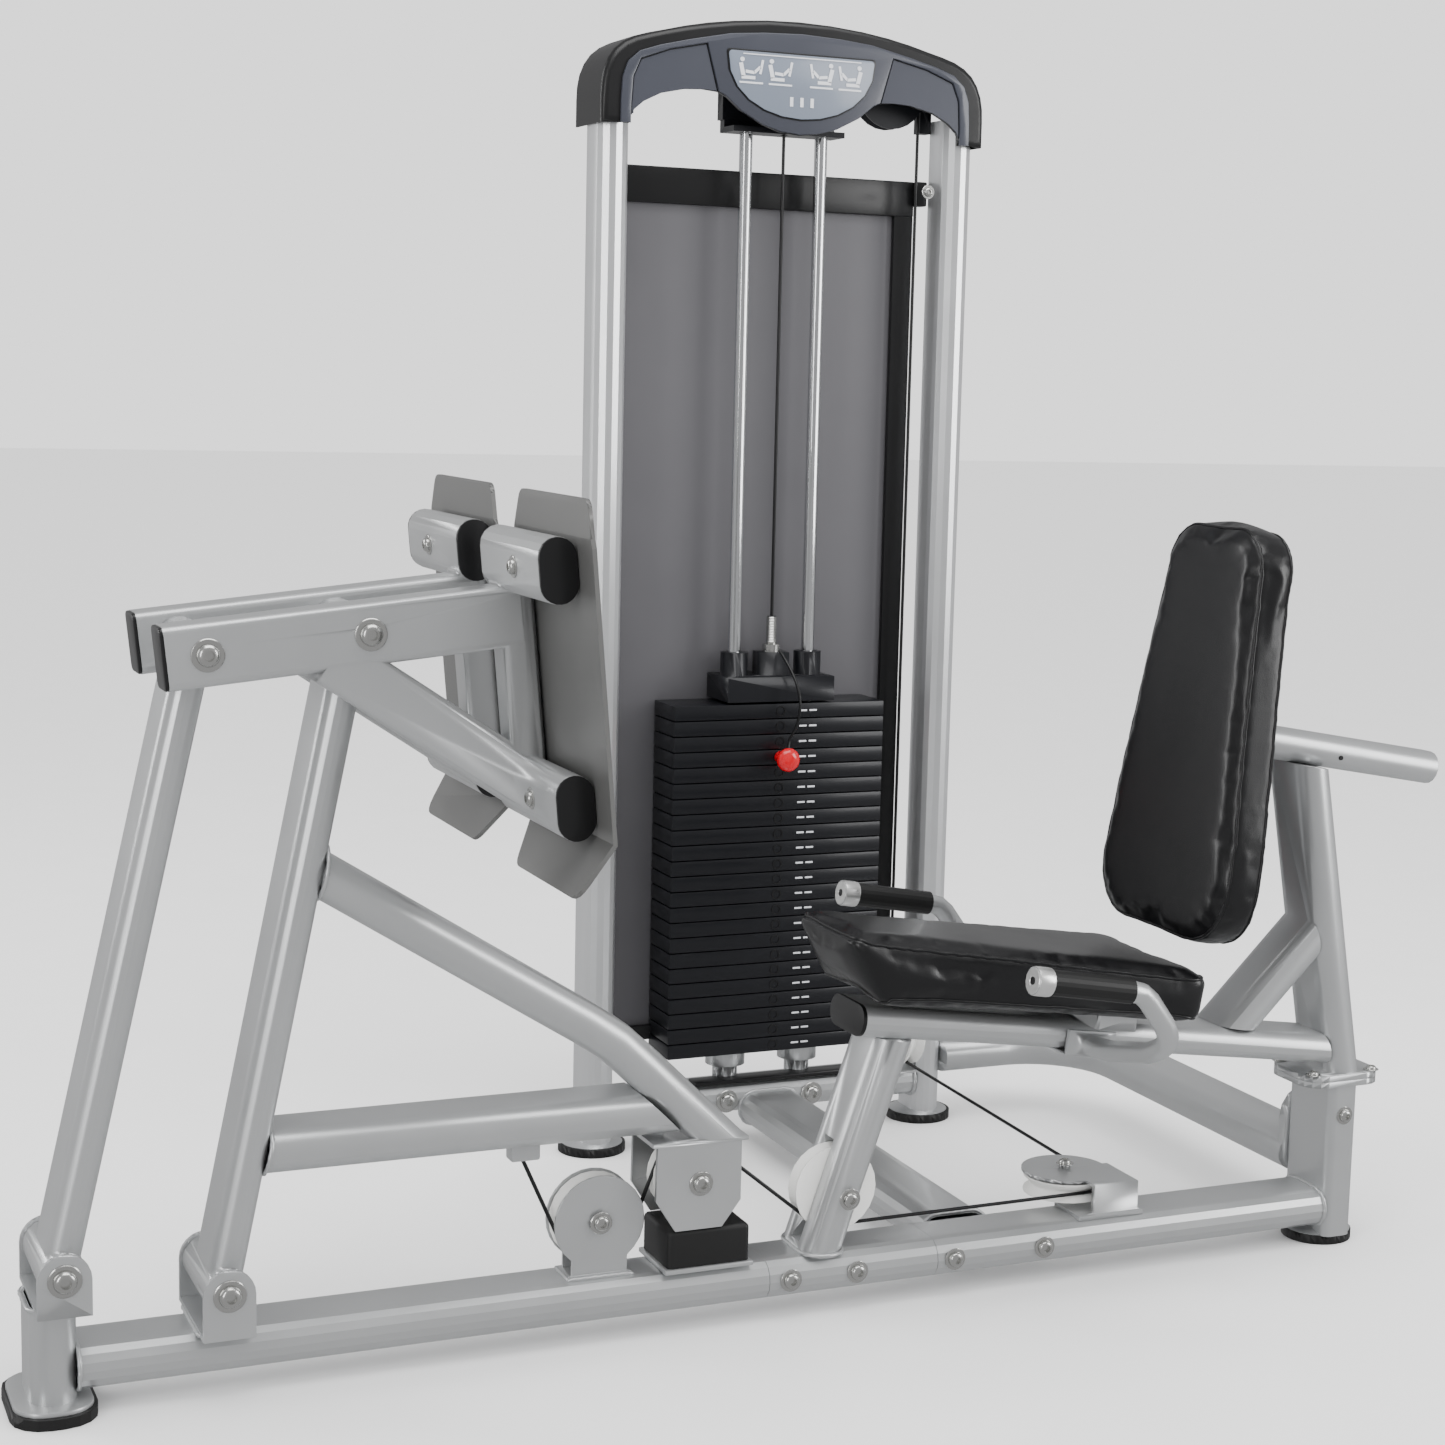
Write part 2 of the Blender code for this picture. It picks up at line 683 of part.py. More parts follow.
def rounded_corners(corners, steps=4):
    """Replaces each corner that has a radius with a round stretch."""
    points = []
    for index, (corner, radius) in enumerate(corners):
        here = Vector(corner)
        if not radius:
            points.append(corner)
            continue
        before = (Vector(corners[index - 1][0]) - here).normalized()
        after = (Vector(corners[(index + 1) % len(corners)][0]) - here).normalized()
        reach = radius / math.tan(before.angle(after) / 2)
        first, last = here + before * reach, here + after * reach
        for step in range(steps + 1):
            t = step / steps
            point = first * (1 - t) ** 2 + here * 2 * t * (1 - t) + last * t**2
            points.append(tuple(point))
    return points


def build_carriage():
    for label, side in (("near", -1), ("far", 1)):
        build_carriage_side("carriage_side_" + label, side)
        build_foot_plate("foot_plate_" + label, side)


# ---------------------------------------------------------------- pulleys, brackets and bumper


def build_pulley(name, centre, axis, groove=GROOVE_R):
    half = PULLEY_WIDE / 2
    floor = groove - CABLE_R - GROOVE_GAP
    rim = groove + RIM
    profile = [
        (BORE_R, half),
        (0.018, half),
        (0.020, half - 0.004),
        (rim - 0.014, half - 0.004),
        (rim - 0.011, half),
        (rim, half),
        (rim, half - 0.003),
        (floor, 0.0022),
        (floor, -0.0022),
        (rim, 0.003 - half),
        (rim, -half),
        (BORE_R, -half),
    ]
    material = BLACK_STEEL if name.startswith("top_") else NYLON
    turned(name, profile, centre, axis, material, 24, closed=True)


def build_guard_bracket(name, centre, axis, foot_way, foot_reach, radius, foot_wide):
    """Two round guard plates with necks to a common foot plate, joined by the pulley's axle."""
    foot_centre = centre + foot_way * foot_reach
    half = GUARD_GAP / 2 + GUARD_THICK
    wide_axis = axis.cross(foot_way)
    foot_start = foot_centre - foot_way * 0.004
    bracket = beam(name, foot_start, foot_centre, wide_axis, foot_wide, 2 * half + 0.01, 0.002, SILVER)
    for side in (-1, 1):
        middle = centre + axis * side * (GUARD_GAP + GUARD_THICK) / 2
        low = middle - axis * GUARD_THICK / 2
        weld(bracket, cylinder(name + "_disc", low, low + axis * GUARD_THICK, radius, SILVER, 28))
        neck_end = middle + foot_way * (foot_reach - 0.002)
        neck = beam(name + "_neck", middle, neck_end, wide_axis, foot_wide * 0.9, GUARD_THICK, 0.0005, SILVER)
        weld(bracket, neck)
    span = axis * (half + 0.004)
    weld(bracket, cylinder(name + "_axle", centre - span, centre + span, BOLT_R, SILVER))


def build_brackets():
    down = -Z_AXIS
    build_guard_bracket("rail_pulley_bracket", P1, Y_AXIS, down, P1.z - RAIL_TOP - GAP, 0.0565, 0.078)
    build_guard_bracket("base_pulley_bracket", P5, X_AXIS, down, P5.z - BASE_Z - BASE_HIGH / 2 - GAP, 0.03, 0.04)


def add_turn_bracket(rail):
    """A flat pulley's holder on the rail: base plate, top plate and a web that joins them."""
    base_z = RAIL_TOP - 0.001
    top_z = P4.z + PULLEY_WIDE / 2 + 0.003
    base = box("turn_base", (1.285, -0.036, base_z), (1.380, 0.030, base_z + 0.006), SILVER)
    web = box("turn_web", (1.310, -0.030, base_z + 0.002), (1.375, -0.022, top_z + 0.002), SILVER)
    low = Vector((P4.x, P4.y, top_z))
    disc = cylinder("turn_disc", low, low + Z_AXIS * 0.004, 0.0575, SILVER, 32)
    tab = box("turn_tab", (1.310, -0.030, top_z), (1.375, 0.050, top_z + 0.004), SILVER)
    axle_low = Vector((P4.x, P4.y, P4.z - PULLEY_WIDE / 2))
    axle = cylinder("turn_axle", axle_low, low + Z_AXIS * 0.010, BOLT_R, SILVER)
    weld(rail, base, web, tab, disc, axle)


def build_bumper():
    """The rubber block that the swing frame rests on, bonded to a steel plate."""
    low = RAIL_TOP + GAP
    plate = box("bumper_plate", (0.708, -0.047, low), (0.822, 0.047, low + 0.006), SILVER)
    top = SWING_PLATE_LOW - GAP
    outline = rounded_box(0.106, 0.090, 0.010)
    middle = Vector((0.765, 0, (low + 0.004 + top) / 2))
    matrix = frame_matrix(middle, X_AXIS, Z_AXIS)
    bumper = solid_mesh(flat_shape("swing_bumper", [outline], top - low - 0.004, matrix, RUBBER))
    weld(bumper, plate)


def build_pulleys():
    build_pulley("rail_pulley", P1, Y_AXIS)
    build_pulley("swing_pulley", P2, Y_AXIS, SWING_GROOVE_R)
    build_pulley("post_pulley", P3, Y_AXIS)
    build_pulley("turn_pulley", P4, Z_AXIS)
    build_pulley("base_pulley", P5, X_AXIS)
    build_pulley("top_pulley_right", T1, Y_AXIS)
    build_pulley("top_pulley_middle", T2, Y_AXIS)


# ---------------------------------------------------------------- tower


def build_uprights():
    for label, side in (("left", -1), ("right", 1)):
        place = Vector((TOWER_X + side * TOWER_HALF, TOWER_Y, 0))
        low = place + Z_AXIS * (FOOT_THICK + GAP)
        high = place + Z_AXIS * UPRIGHT_TOP
        oval_tube("upright_" + label, low, high, Y_AXIS, BRIGHT, UPRIGHT_WIDE, UPRIGHT_THICK)
        cylinder("tower_foot_" + label, place, place + Z_AXIS * FOOT_THICK, 0.050, RUBBER, 32)


def build_tower_base():
    inner = TOWER_HALF - UPRIGHT_THICK / 2 - GAP
    left = Vector((TOWER_X - inner, TOWER_Y, BASE_Z))
    right = Vector((TOWER_X + inner, TOWER_Y, BASE_Z))
    base = solid_mesh(oval_tube("tower_base", left, right, Y_AXIS, SILVER, UPRIGHT_WIDE, BASE_HIGH))
    for side in (-1, 1):
        weld(base, build_buffer(Vector((TOWER_X + side * ROD_OFFSET, TOWER_Y, 0))))
    rail_side = Vector((TOWER_X, TUBE_WIDE / 2 + GAP, RAIL_Z))
    tower_side = Vector((TOWER_X, TOWER_Y - UPRIGHT_WIDE / 2 - GAP, RAIL_Z))
    oval_tube("cross_tube", rail_side, tower_side, X_AXIS, SILVER)


def build_side_tube():
    start = Vector((TOWER_X + TOWER_HALF + UPRIGHT_THICK / 2 + GAP, TOWER_Y, 0.100))
    corner = Vector((1.703, TOWER_Y, 0.100))
    radius = 0.150
    centre = corner + Vector((-radius, -radius, 0))
    bend = arc(centre, radius, 90, 0, 10, X_AXIS, Y_AXIS)
    end_y = REAR_POST_SIZE[1] / 2 + GAP
    end = Vector((corner.x, end_y + 0.006, 0.100))
    tube = swept_oval("side_tube", [start, *bend, end], TUBE_WIDE, TUBE_THICK, 0.0, SILVER)
    matrix = frame_matrix(Vector((corner.x, end_y + 0.008, 0.130)), Z_AXIS, Y_AXIS)
    weld(tube, solid_mesh(flat_shape("side_flange", [stadium(0.128, 0.088)], 0.016, matrix, SILVER)))


def build_top_beam():
    """The bar behind the top pulleys, cut away under the cover's arches, with a shelf for the guide rods."""
    inner = TOWER_HALF - UPRIGHT_THICK / 2 - GAP
    beam_low = (TOWER_X - inner, 0.710, 1.510)
    beam_high = (TOWER_X + inner, 0.730, 1.585)
    bar = box("top_beam", beam_low, beam_high, BLACK_STEEL)
    drop = box("rod_drop", (1.060, 0.712, 1.4925), (1.235, 0.728, 1.545), BLACK_STEEL)
    shelf = box("rod_shelf", (1.060, 0.675, 1.4920), (1.235, 0.725, 1.5000), BLACK_STEEL)
    weld(bar, drop, shelf)
    left_arch = box("left_arch", (0.920, 0.700, 1.480), (1.0565, 0.740, 1.553), BLACK_STEEL)
    right_arch = box("right_arch", (1.2385, 0.700, 1.480), (1.3740, 0.740, 1.553), BLACK_STEEL)
    cut(bar, left_arch, right_arch)
    for centre in (T1, T2):
        front = Vector((centre.x, 0.678, centre.z))
        back = Vector((centre.x, 0.715, centre.z))
        weld(bar, cylinder("top_axle", front, back, BOLT_R, BLACK_STEEL))
    hole = Vector((TOWER_X, TOWER_Y, 1.48))
    cut(bar, cylinder("cable_hole", hole, hole + Z_AXIS * 0.04, 0.006, BLACK_STEEL))


def build_buffer(place):
    """A post round a guide rod's foot, with the cushion that the weight plates rest on."""
    base_top = BASE_Z + BASE_HIGH / 2
    profile = [
        (ROD_R + 0.0008, STACK_BOTTOM - GAP),
        (0.030, STACK_BOTTOM - GAP),
        (0.030, 0.114),
        (0.019, 0.113),
        (0.019, base_top - 0.001),
        (ROD_R + 0.0008, base_top - 0.001),
    ]
    return turned("stack_buffer", profile, place, Z_AXIS, RUBBER, 24, closed=True)


def build_guide_rods():
    for label, side in (("left", -1), ("right", 1)):
        place = Vector((TOWER_X + side * ROD_OFFSET, TOWER_Y, 0))
        low = place + Z_AXIS * (BASE_Z + BASE_HIGH / 2 + GAP)
        cylinder("guide_rod_" + label, low, place + Z_AXIS * ROD_TOP, ROD_R, CHROME, 20)


def build_rear_panel():
    low = (0.9045, 0.738, 0.170)
    box("rear_panel", low, (1.3760, 0.743, 1.440), PANEL_GREY)


SHROUD_TOP = [
    (0.0, 1.647), (0.050, 1.6455), (0.100, 1.6412), (0.140, 1.6355), (0.175, 1.6285), (0.205, 1.6210),
    (0.230, 1.6150), (0.250, 1.6090), (0.2660, 1.6010), (0.279, 1.5905), (0.2885, 1.5770), (0.2950, 1.5610),
    (0.2982, 1.5440), (0.2990, 1.5250), (0.2990, 1.4885),
]
SHROUD_UNDER = [
    (0.257, 1.4885), (0.257, 1.4985), (0.252, 1.5080), (0.238, 1.5200), (0.212, 1.5330), (0.176, 1.5410),
    (0.150, 1.5425), (0.126, 1.5405), (0.112, 1.5340), (0.092, 1.5175), (0.058, 1.5000), (0.030, 1.4910),
    (0.0, 1.4875),
]


def mirror_profile(half):
    """The closed outline whose right half runs from the top's middle to the bottom's middle."""
    left = [(-x, z) for x, z in reversed(half[1:-1])]
    return half + left


def soften_front(obj, front, radius, segments, low):
    """Rounds the edges of the face at y = front, but not the ones that lie inside the `low` outline."""
    edit = bmesh.new()
    edit.from_mesh(obj.data)
    bmesh.ops.remove_doubles(edit, verts=edit.verts, dist=1e-6)
    bmesh.ops.dissolve_limit(edit, angle_limit=0.001, verts=edit.verts, edges=edit.edges)
    world = obj.matrix_world.copy()
    under = [Vector((TOWER_X + side * x, front, z)) for x, z in low for side in (-1, 1)]

    def is_under(place):
        return min((place - spot).length for spot in under) < 1e-4

    rim = []
    for edge in edit.edges:
        ends = [world @ vert.co for vert in edge.verts]
        if all(abs(end.y - front) < 1e-4 for end in ends) and not all(is_under(end) for end in ends):
            rim.append(edge)
    bmesh.ops.bevel(
        edit,
        geom=rim,
        offset=radius,
        offset_type="OFFSET",
        segments=segments,
        profile=0.5,
        affect="EDGES",
        clamp_overlap=True,
        material=-1,
    )
    bmesh.ops.triangulate(edit, faces=edit.faces)
    edit.to_mesh(obj.data)
    edit.free()
    return obj


def build_shroud():
    """The tower's moulded cover: an arched hood open at its back and below, with a round front edge."""
    outline = mirror_profile(SHROUD_TOP + SHROUD_UNDER)
    depth = SHROUD_BACK - SHROUD_FRONT
    middle = (SHROUD_BACK + SHROUD_FRONT) / 2
    matrix = frame_matrix(Vector((TOWER_X, middle, 0)), X_AXIS, Y_AXIS)
    flipped = [(x, -z) for x, z in outline]
    shroud = solid_mesh(flat_shape("shroud", [flipped], depth, matrix, SHROUD_GREY))
    soften_front(shroud, SHROUD_FRONT, SHROUD_ROUND, 4, SHROUD_UNDER)
    wall = 0.0028
    scale_x = (SHROUD_HALF - wall) / SHROUD_HALF
    roof = [(x * scale_x, z - wall) for x, z in SHROUD_TOP[:-1]]
    inner = mirror_profile(roof + [(SHROUD_TOP[-1][0] * scale_x, 1.45), (0.0, 1.45)])
    inner_flipped = [(x, -z) for x, z in inner]
    front = SHROUD_FRONT + SHROUD_WALL
    hollow_matrix = frame_matrix(Vector((TOWER_X, front + depth / 2, 0)), X_AXIS, Y_AXIS)
    hollow = solid_mesh(flat_shape("shroud_hollow", [inner_flipped], depth, hollow_matrix, SHROUD_GREY))
    soften_front(hollow, front, SHROUD_ROUND - 0.003, 3, [(0.0, 1.45), (SHROUD_TOP[-1][0] * scale_x, 1.45)])
    cut(shroud, hollow)


# ---------------------------------------------------------------- weight stack


def comb_outline(count):
    """The side of a pile of plates: a thin slit marks each joint, on both edges."""
    half = PLATE_WIDTH / 2
    slit_depth = 0.004
    right = []
    for plate in range(count):
        low = plate * PITCH
        high = low + PITCH
        right += [(half, low + (PLATE_SLIT if plate else 0)), (half, high)]
        if plate < count - 1:
            right += [(half - slit_depth, high), (half - slit_depth, high + PLATE_SLIT)]
    left = [(-x, z) for x, z in reversed(right)]
    return right + left


def build_plates(name, first, count, through):
    low = STACK_BOTTOM + first * PITCH + (GAP if first else 0)
    outline = [(x, -z * (1 - GAP)) for x, z in comb_outline(count)]
    matrix = frame_matrix(Vector((TOWER_X, STACK_Y, low)), X_AXIS, Y_AXIS)
    plates = prism(name, outline, PLATE_DEPTH, matrix, BLACK_STEEL)
    bores = [(TOWER_X - ROD_OFFSET, ROD_R + 0.0025), (TOWER_X + ROD_OFFSET, ROD_R + 0.0025), (TOWER_X, STEM_R + 0.0015)]
    for x, radius in bores:
        start = Vector((x, TOWER_Y, low - 0.01))
        end = Vector((x, TOWER_Y, low + count * PITCH + 0.01))
        cut(plates, cylinder(name + "_bore", start, end, radius, BLACK_STEEL))
    if through:
        z = pin_height()
        start = Vector((TOWER_X, STACK_Y - 0.1, z))
        cut(plates, cylinder(name + "_pin_hole", start, start + Y_AXIS * 0.2, PIN_R + 0.0008, BLACK_STEEL))


def pin_height():
    return STACK_BOTTOM + (RESTING_PLATES + 0.5) * PITCH + GAP


def build_head_plate():
    """Top plate with the stem that hangs through the plates, rod collars and the cable's end bolt."""
    half = 0.0855
    front = STACK_Y - PLATE_DEPTH / 2
    low = (TOWER_X - half, front, HEAD_LOW)
    head = box("head_plate", low, (TOWER_X + half, front + PLATE_DEPTH, HEAD_LOW + HEAD_HIGH), BLACK_STEEL)
    top = HEAD_LOW + HEAD_HIGH
    centre = Vector((TOWER_X, TOWER_Y, 0))
    for side in (-1, 1):
        place = centre + X_AXIS * side * ROD_OFFSET
        weld(head, cylinder("collar", place + Z_AXIS * (top - 0.005), place + Z_AXIS * (top + 0.034), 0.0205, BLACK_STEEL))
    stem_low = STACK_BOTTOM + 0.01
    weld(head, cylinder("stem", centre + Z_AXIS * stem_low, centre + Z_AXIS * (top - 0.002), STEM_R, BLACK_STEEL))
    block_low = (TOWER_X - 0.022, TOWER_Y - 0.018, top - 0.003)
    weld(head, box("stem_head", block_low, (TOWER_X + 0.022, TOWER_Y + 0.018, top + 0.034), BLACK_STEEL))
    weld(head, cylinder("end_bolt", centre + Z_AXIS * (top + 0.03), centre + Z_AXIS * 0.792, 0.007, BLACK_STEEL))
    for side in (-1, 1):
        place = centre + X_AXIS * side * ROD_OFFSET
        cut(head, cylinder("head_bore", place + Z_AXIS * 0.6, place + Z_AXIS * 0.8, ROD_R + 0.0006, BLACK_STEEL))
    start = Vector((TOWER_X, STACK_Y - 0.1, pin_height()))
    cut(head, cylinder("stem_hole", start, start + Y_AXIS * 0.2, PIN_R + 0.0005, BLACK_STEEL))


def build_selector_pin():
    tip = 0.022
    face = STACK_Y - PLATE_DEPTH / 2
    length = TOWER_Y + STEM_R + 0.004 - face
    profile = [
        (0.0, tip),
        (0.011, tip),
        (0.016, tip - 0.004),
        (0.0178, tip - 0.011),
        (0.015, tip - 0.018),
        (0.009, tip - 0.021),
        (PIN_R, tip - 0.021),
        (PIN_R, -length),
        (0.0, -length),
    ]
    origin = Vector((TOWER_X, face - 0.020, pin_height()))
    shifted = [(radius, height if height > 0 else height - 0.020) for radius, height in profile]
    turned("selector_pin", shifted, origin, -Y_AXIS, RED, 24)


# ---------------------------------------------------------------- seat


def seat_slope():
    return (SEAT_RAIL_REAR - SEAT_RAIL_FRONT).normalized()


def build_seat_frame():
    slope = seat_slope()
    normal = Vector((-slope.z, 0, slope.x))
    post_way = (BACK_POST_HIGH - BACK_POST_LOW).normalized()
    post_normal = Y_AXIS.cross(post_way)
    rail_front, rail_rear = SEAT_RAIL_FRONT, SEAT_RAIL_REAR
    seat_rail = oval_tube("seat_rail", rail_front, rail_rear, Y_AXIS, SILVER, TUBE_WIDE, SEAT_RAIL_THICK)
    seat_rail = solid_mesh(seat_rail)
    face = TUBE_THICK / 2 + GAP
    trim(seat_rail, BACK_POST_LOW - post_normal * face, post_normal)
    weld(seat_rail, build_seat_bracket(slope, normal))
    under = SEAT_RAIL_FRONT - normal * (SEAT_RAIL_THICK / 2 + GAP)
    over = SEAT_RAIL_FRONT + normal * (SEAT_RAIL_THICK / 2 + GAP)
    build_seat_post(under, normal)
    post = build_back_post(post_way)
    brace_low, brace_high = Vector((1.50, 0, 0.292)), Vector((1.70, 0, 0.491))
    brace = solid_mesh(oval_tube("back_brace", brace_low, brace_high, Y_AXIS, SILVER, 0.090, 0.045))
    trim(brace, over, -normal)
    trim(brace, BACK_POST_LOW - post_normal * (TUBE_THICK / 2 - 0.002), post_normal)
    weld(post, brace)


def build_seat_post(under, normal):
    """Front seat support, slotted for the cable pulley that turns inside it."""
    post = oval_tube("seat_post", Vector((0.905, 0, 0.03)), Vector((1.035, 0, 0.410)), Y_AXIS, SILVER, wall=0)
    post = solid_mesh(post)
    trim(post, under, normal)
    trim(post, Vector((0.9, 0, RAIL_TOP + GAP)), -Z_AXIS)
    cut(post, box("pulley_slot", (0.84, -0.0135, 0.085), (1.06, 0.0135, 0.212), SILVER))
    reach = Y_AXIS * (TUBE_WIDE / 2 + 0.006)
    weld(post, cylinder("post_axle", P3 - reach, P3 + reach, BOLT_R, SILVER))


def build_back_post(post_way):
    post = oval_tube("back_post", BACK_POST_LOW, BACK_POST_HIGH, Y_AXIS, SILVER, wall=0)
    post = solid_mesh(post)
    flange_low = REAR_POST_TOP + 0.008 + GAP
    trim(post, Vector((1.69, 0, flange_low)), -Z_AXIS)
    along, up = sleeve_axes()
    trim(post, SLEEVE_ORIGIN - up * (SLEEVE_THICK / 2 + GAP), up)
    centre = Vector((REAR_POST_X, 0, flange_low + 0.004))
    outline = rounded_box(0.120, 0.108, 0.030)
    flange = flat_shape("back_flange", [outline], 0.008, frame_matrix(centre, X_AXIS, Z_AXIS), SILVER)
    return weld(post, solid_mesh(flange))


def sleeve_axes():
    along = Vector((math.cos(SLEEVE_SLOPE), 0, -math.sin(SLEEVE_SLOPE)))
    up = Vector((math.sin(SLEEVE_SLOPE), 0, math.cos(SLEEVE_SLOPE)))
    return along, up


def build_backrest():
    along, up = sleeve_axes()
    start = SLEEVE_ORIGIN - along * 0.150
    end = SLEEVE_ORIGIN + along * 0.162
    wall = 0.0035
    oval_tube("backrest_sleeve", start, end, Y_AXIS, SILVER, SLEEVE_WIDE, SLEEVE_THICK, wall)
    shrink = 2 * (wall + 0.0006)
    tube_start = SLEEVE_ORIGIN - along * 0.170
    tube_end = SLEEVE_ORIGIN + along * 0.120
    slider = oval_tube(
        "backrest_slider", tube_start, tube_end, Y_AXIS, CHROME, SLEEVE_WIDE - shrink, SLEEVE_THICK - shrink, 0
    )
    slider = solid_mesh(slider)
    pad_up = backrest_up()
    pad_back = Y_AXIS.cross(pad_up)
    plate_centre = backrest_point(0.235) + pad_back * (0.058 + GAP + 0.003)
    plate = frame_matrix(plate_centre, Y_AXIS, pad_back)
    outline = rounded_box(0.160, 0.220, 0.015)
    weld(slider, solid_mesh(flat_shape("backrest_plate", [outline], 0.006, plate, BLACK_STEEL)))
    trim(slider, plate_centre, -pad_back)
    build_backrest_pad(pad_up, pad_back)


def backrest_up():
    lean = math.radians(7.9)
    return Vector((math.sin(lean), 0, math.cos(lean)))


def backrest_point(height):
    """A point on the pad's front face, `height` along it above the bottom edge."""
    return Vector((1.3935, 0, 0.447)) + backrest_up() * height


def build_backrest_pad(pad_up, pad_back):
    corners = [
        ((0.158, 0.0), 0.085),
        ((0.150, 0.14), 0.0),
        ((0.104, 0.535), 0.055),
        ((-0.104, 0.535), 0.055),
        ((-0.150, 0.14), 0.0),
        ((-0.158, 0.0), 0.085),
    ]
    outline = rounded_corners(corners, 6)
    matrix = Matrix((Y_AXIS, pad_up, pad_back)).transposed().to_4x4()
    matrix.translation = backrest_point(0) + pad_back * 0.029
    pad = flat_shape("backrest_pad", [outline], 0.058, matrix, VINYL)
    return pad


def build_seat_pad():
    """A wedge cushion: narrow and thick in front, wide and thin behind."""
    front, rear = (0.927, 0.487), (1.405, 0.409)
    rows = [
        (0.925, 0.487, 0.450, 0.0870),
        (0.950, 0.4832, 0.416, 0.0885),
        (0.990, 0.4767, 0.3985, 0.0920),
        (1.388, 0.4118, 0.3500, 0.1310),
        (rear[0], rear[1], 0.3530, 0.1320),
    ]
    mesh = bpy.data.meshes.new("seat_pad")
    edit = bmesh.new()
    rings = []
    for x, top, low, half in rows:
        corners = ((-half, low), (half, low), (half, top), (-half, top))
        rings.append([edit.verts.new((x, y, z)) for y, z in corners])
    for first, second in zip(rings, rings[1:]):
        for index in range(4):
            after = (index + 1) % 4
            edit.faces.new((first[index], first[after], second[after], second[index]))
    edit.faces.new(rings[0])
    edit.faces.new(rings[-1])
    bmesh.ops.recalc_face_normals(edit, faces=edit.faces)
    edit.to_mesh(mesh)
    edit.free()
    pad = add_object("seat_pad", mesh, VINYL)
    add_bevel(pad, 0.008)
    return front


def build_seat_bracket(slope, normal):
    """The cross plate that carries the cushion's rear half above the seat rail."""
    start = SEAT_RAIL_FRONT + slope * 0.330 + normal * (SEAT_RAIL_THICK / 2 - 0.001)
    end = start + normal * 0.019
    return beam("seat_bracket", start, end, Y_AXIS, 0.180, 0.060, 0.004, BLACK_STEEL)


def handle_clamp():
    """The U-shaped strap under the seat rail that carries both handle tubes."""
    slope = (SEAT_RAIL_REAR - SEAT_RAIL_FRONT).normalized()
    normal = slope.cross(Y_AXIS)
    middle = SEAT_RAIL_FRONT + slope * 0.3183
    reach = slope * 0.035
    drop = normal * -(SEAT_RAIL_THICK / 2 + 0.0026)
    strap = beam("strap", middle + drop - reach, middle + drop + reach, Y_AXIS, 0.1105, 0.004, 0.0005, SILVER)
    cheeks = []
    for side in (-1, 1):
        place = middle + Y_AXIS * side * 0.0527 - normal * 0.0075
        cheeks.append(beam("cheek", place - reach, place + reach, normal, 0.0332, 0.005, 0.0005, SILVER))
    return [strap, *cheeks]


def build_handles():
    """One bent bar under the seat rail with a forward grip at each side of the seat."""
    side_y = 0.265
    slope = math.radians(9.5)
    right = [
        Vector((1.083, -side_y, 0.459)),
        Vector((1.205, -side_y, 0.4385)),
        Vector((1.219, -side_y, 0.4345)),
        Vector((1.230, -side_y, 0.4250)),
        Vector((1.2540, -side_y, 0.3920)),
        Vector((1.2610, -side_y + 0.003, 0.3790)),
        Vector((1.2650, -side_y + 0.012, 0.3660)),
        Vector((1.2670, -side_y + 0.028, 0.3560)),
        Vector((1.2700, -side_y + 0.055, 0.3440)),
        Vector((1.2760, -side_y + 0.155, 0.3200)),
        Vector((1.2800, -0.0515, 0.3120)),
    ]
    left = [Vector((point.x, -point.y, point.z)) for point in reversed(right)]
    strap, *cheeks = handle_clamp()
    bar = weld(strap, *cheeks)
    bar.name = "handle_bar"
    for name, points in (("handle_near", right), ("handle_far", left)):
        weld(bar, solid_mesh(round_wire(name, points, 0.0135, SILVER, 3)))
    way = Vector((-math.cos(slope), 0, math.sin(slope)))
    for label, side in (("near", -1), ("far", 1)):
        start = Vector((1.204, side * side_y, 0.4388))
        end = start + way * 0.112
        matrix = frame_matrix((start + end) / 2, Y_AXIS, way)
        grip = [circle(0, 0, 0.0158, 20), circle(0, 0, 0.0139, 20)]
        flat_shape("grip_" + label, grip, 0.112, matrix, RUBBER)
        cap_start = end + way * GAP
        weld(bar, cylinder("grip_cap", cap_start, cap_start + way * 0.022, 0.0168, BRIGHT, 20))


# ---------------------------------------------------------------- cable


def pulley_arc(centre, first, last, u_axis, v_axis, radius=GROOVE_R):
    steps = max(4, int(abs(last - first) / 13))
    return arc(centre, radius, first, last, steps, u_axis, v_axis)


def tangent_angle(centre, point, turn):
    """Where a line from the point touches the groove's circle, in degrees in the XZ plane."""
    away = point - centre
    base = math.degrees(math.atan2(away.z, away.x))
    return base + turn * math.degrees(math.acos(GROOVE_R / math.hypot(away.x, away.z)))


def inner_tangent(first, second):
    """Angle of the touching point on each of two circles that the cable crosses between."""
    away = second - first
    base = math.degrees(math.atan2(away.z, away.x))
    return base, math.degrees(math.acos((GROOVE_R + SWING_GROOVE_R) / math.hypot(away.x, away.z)))


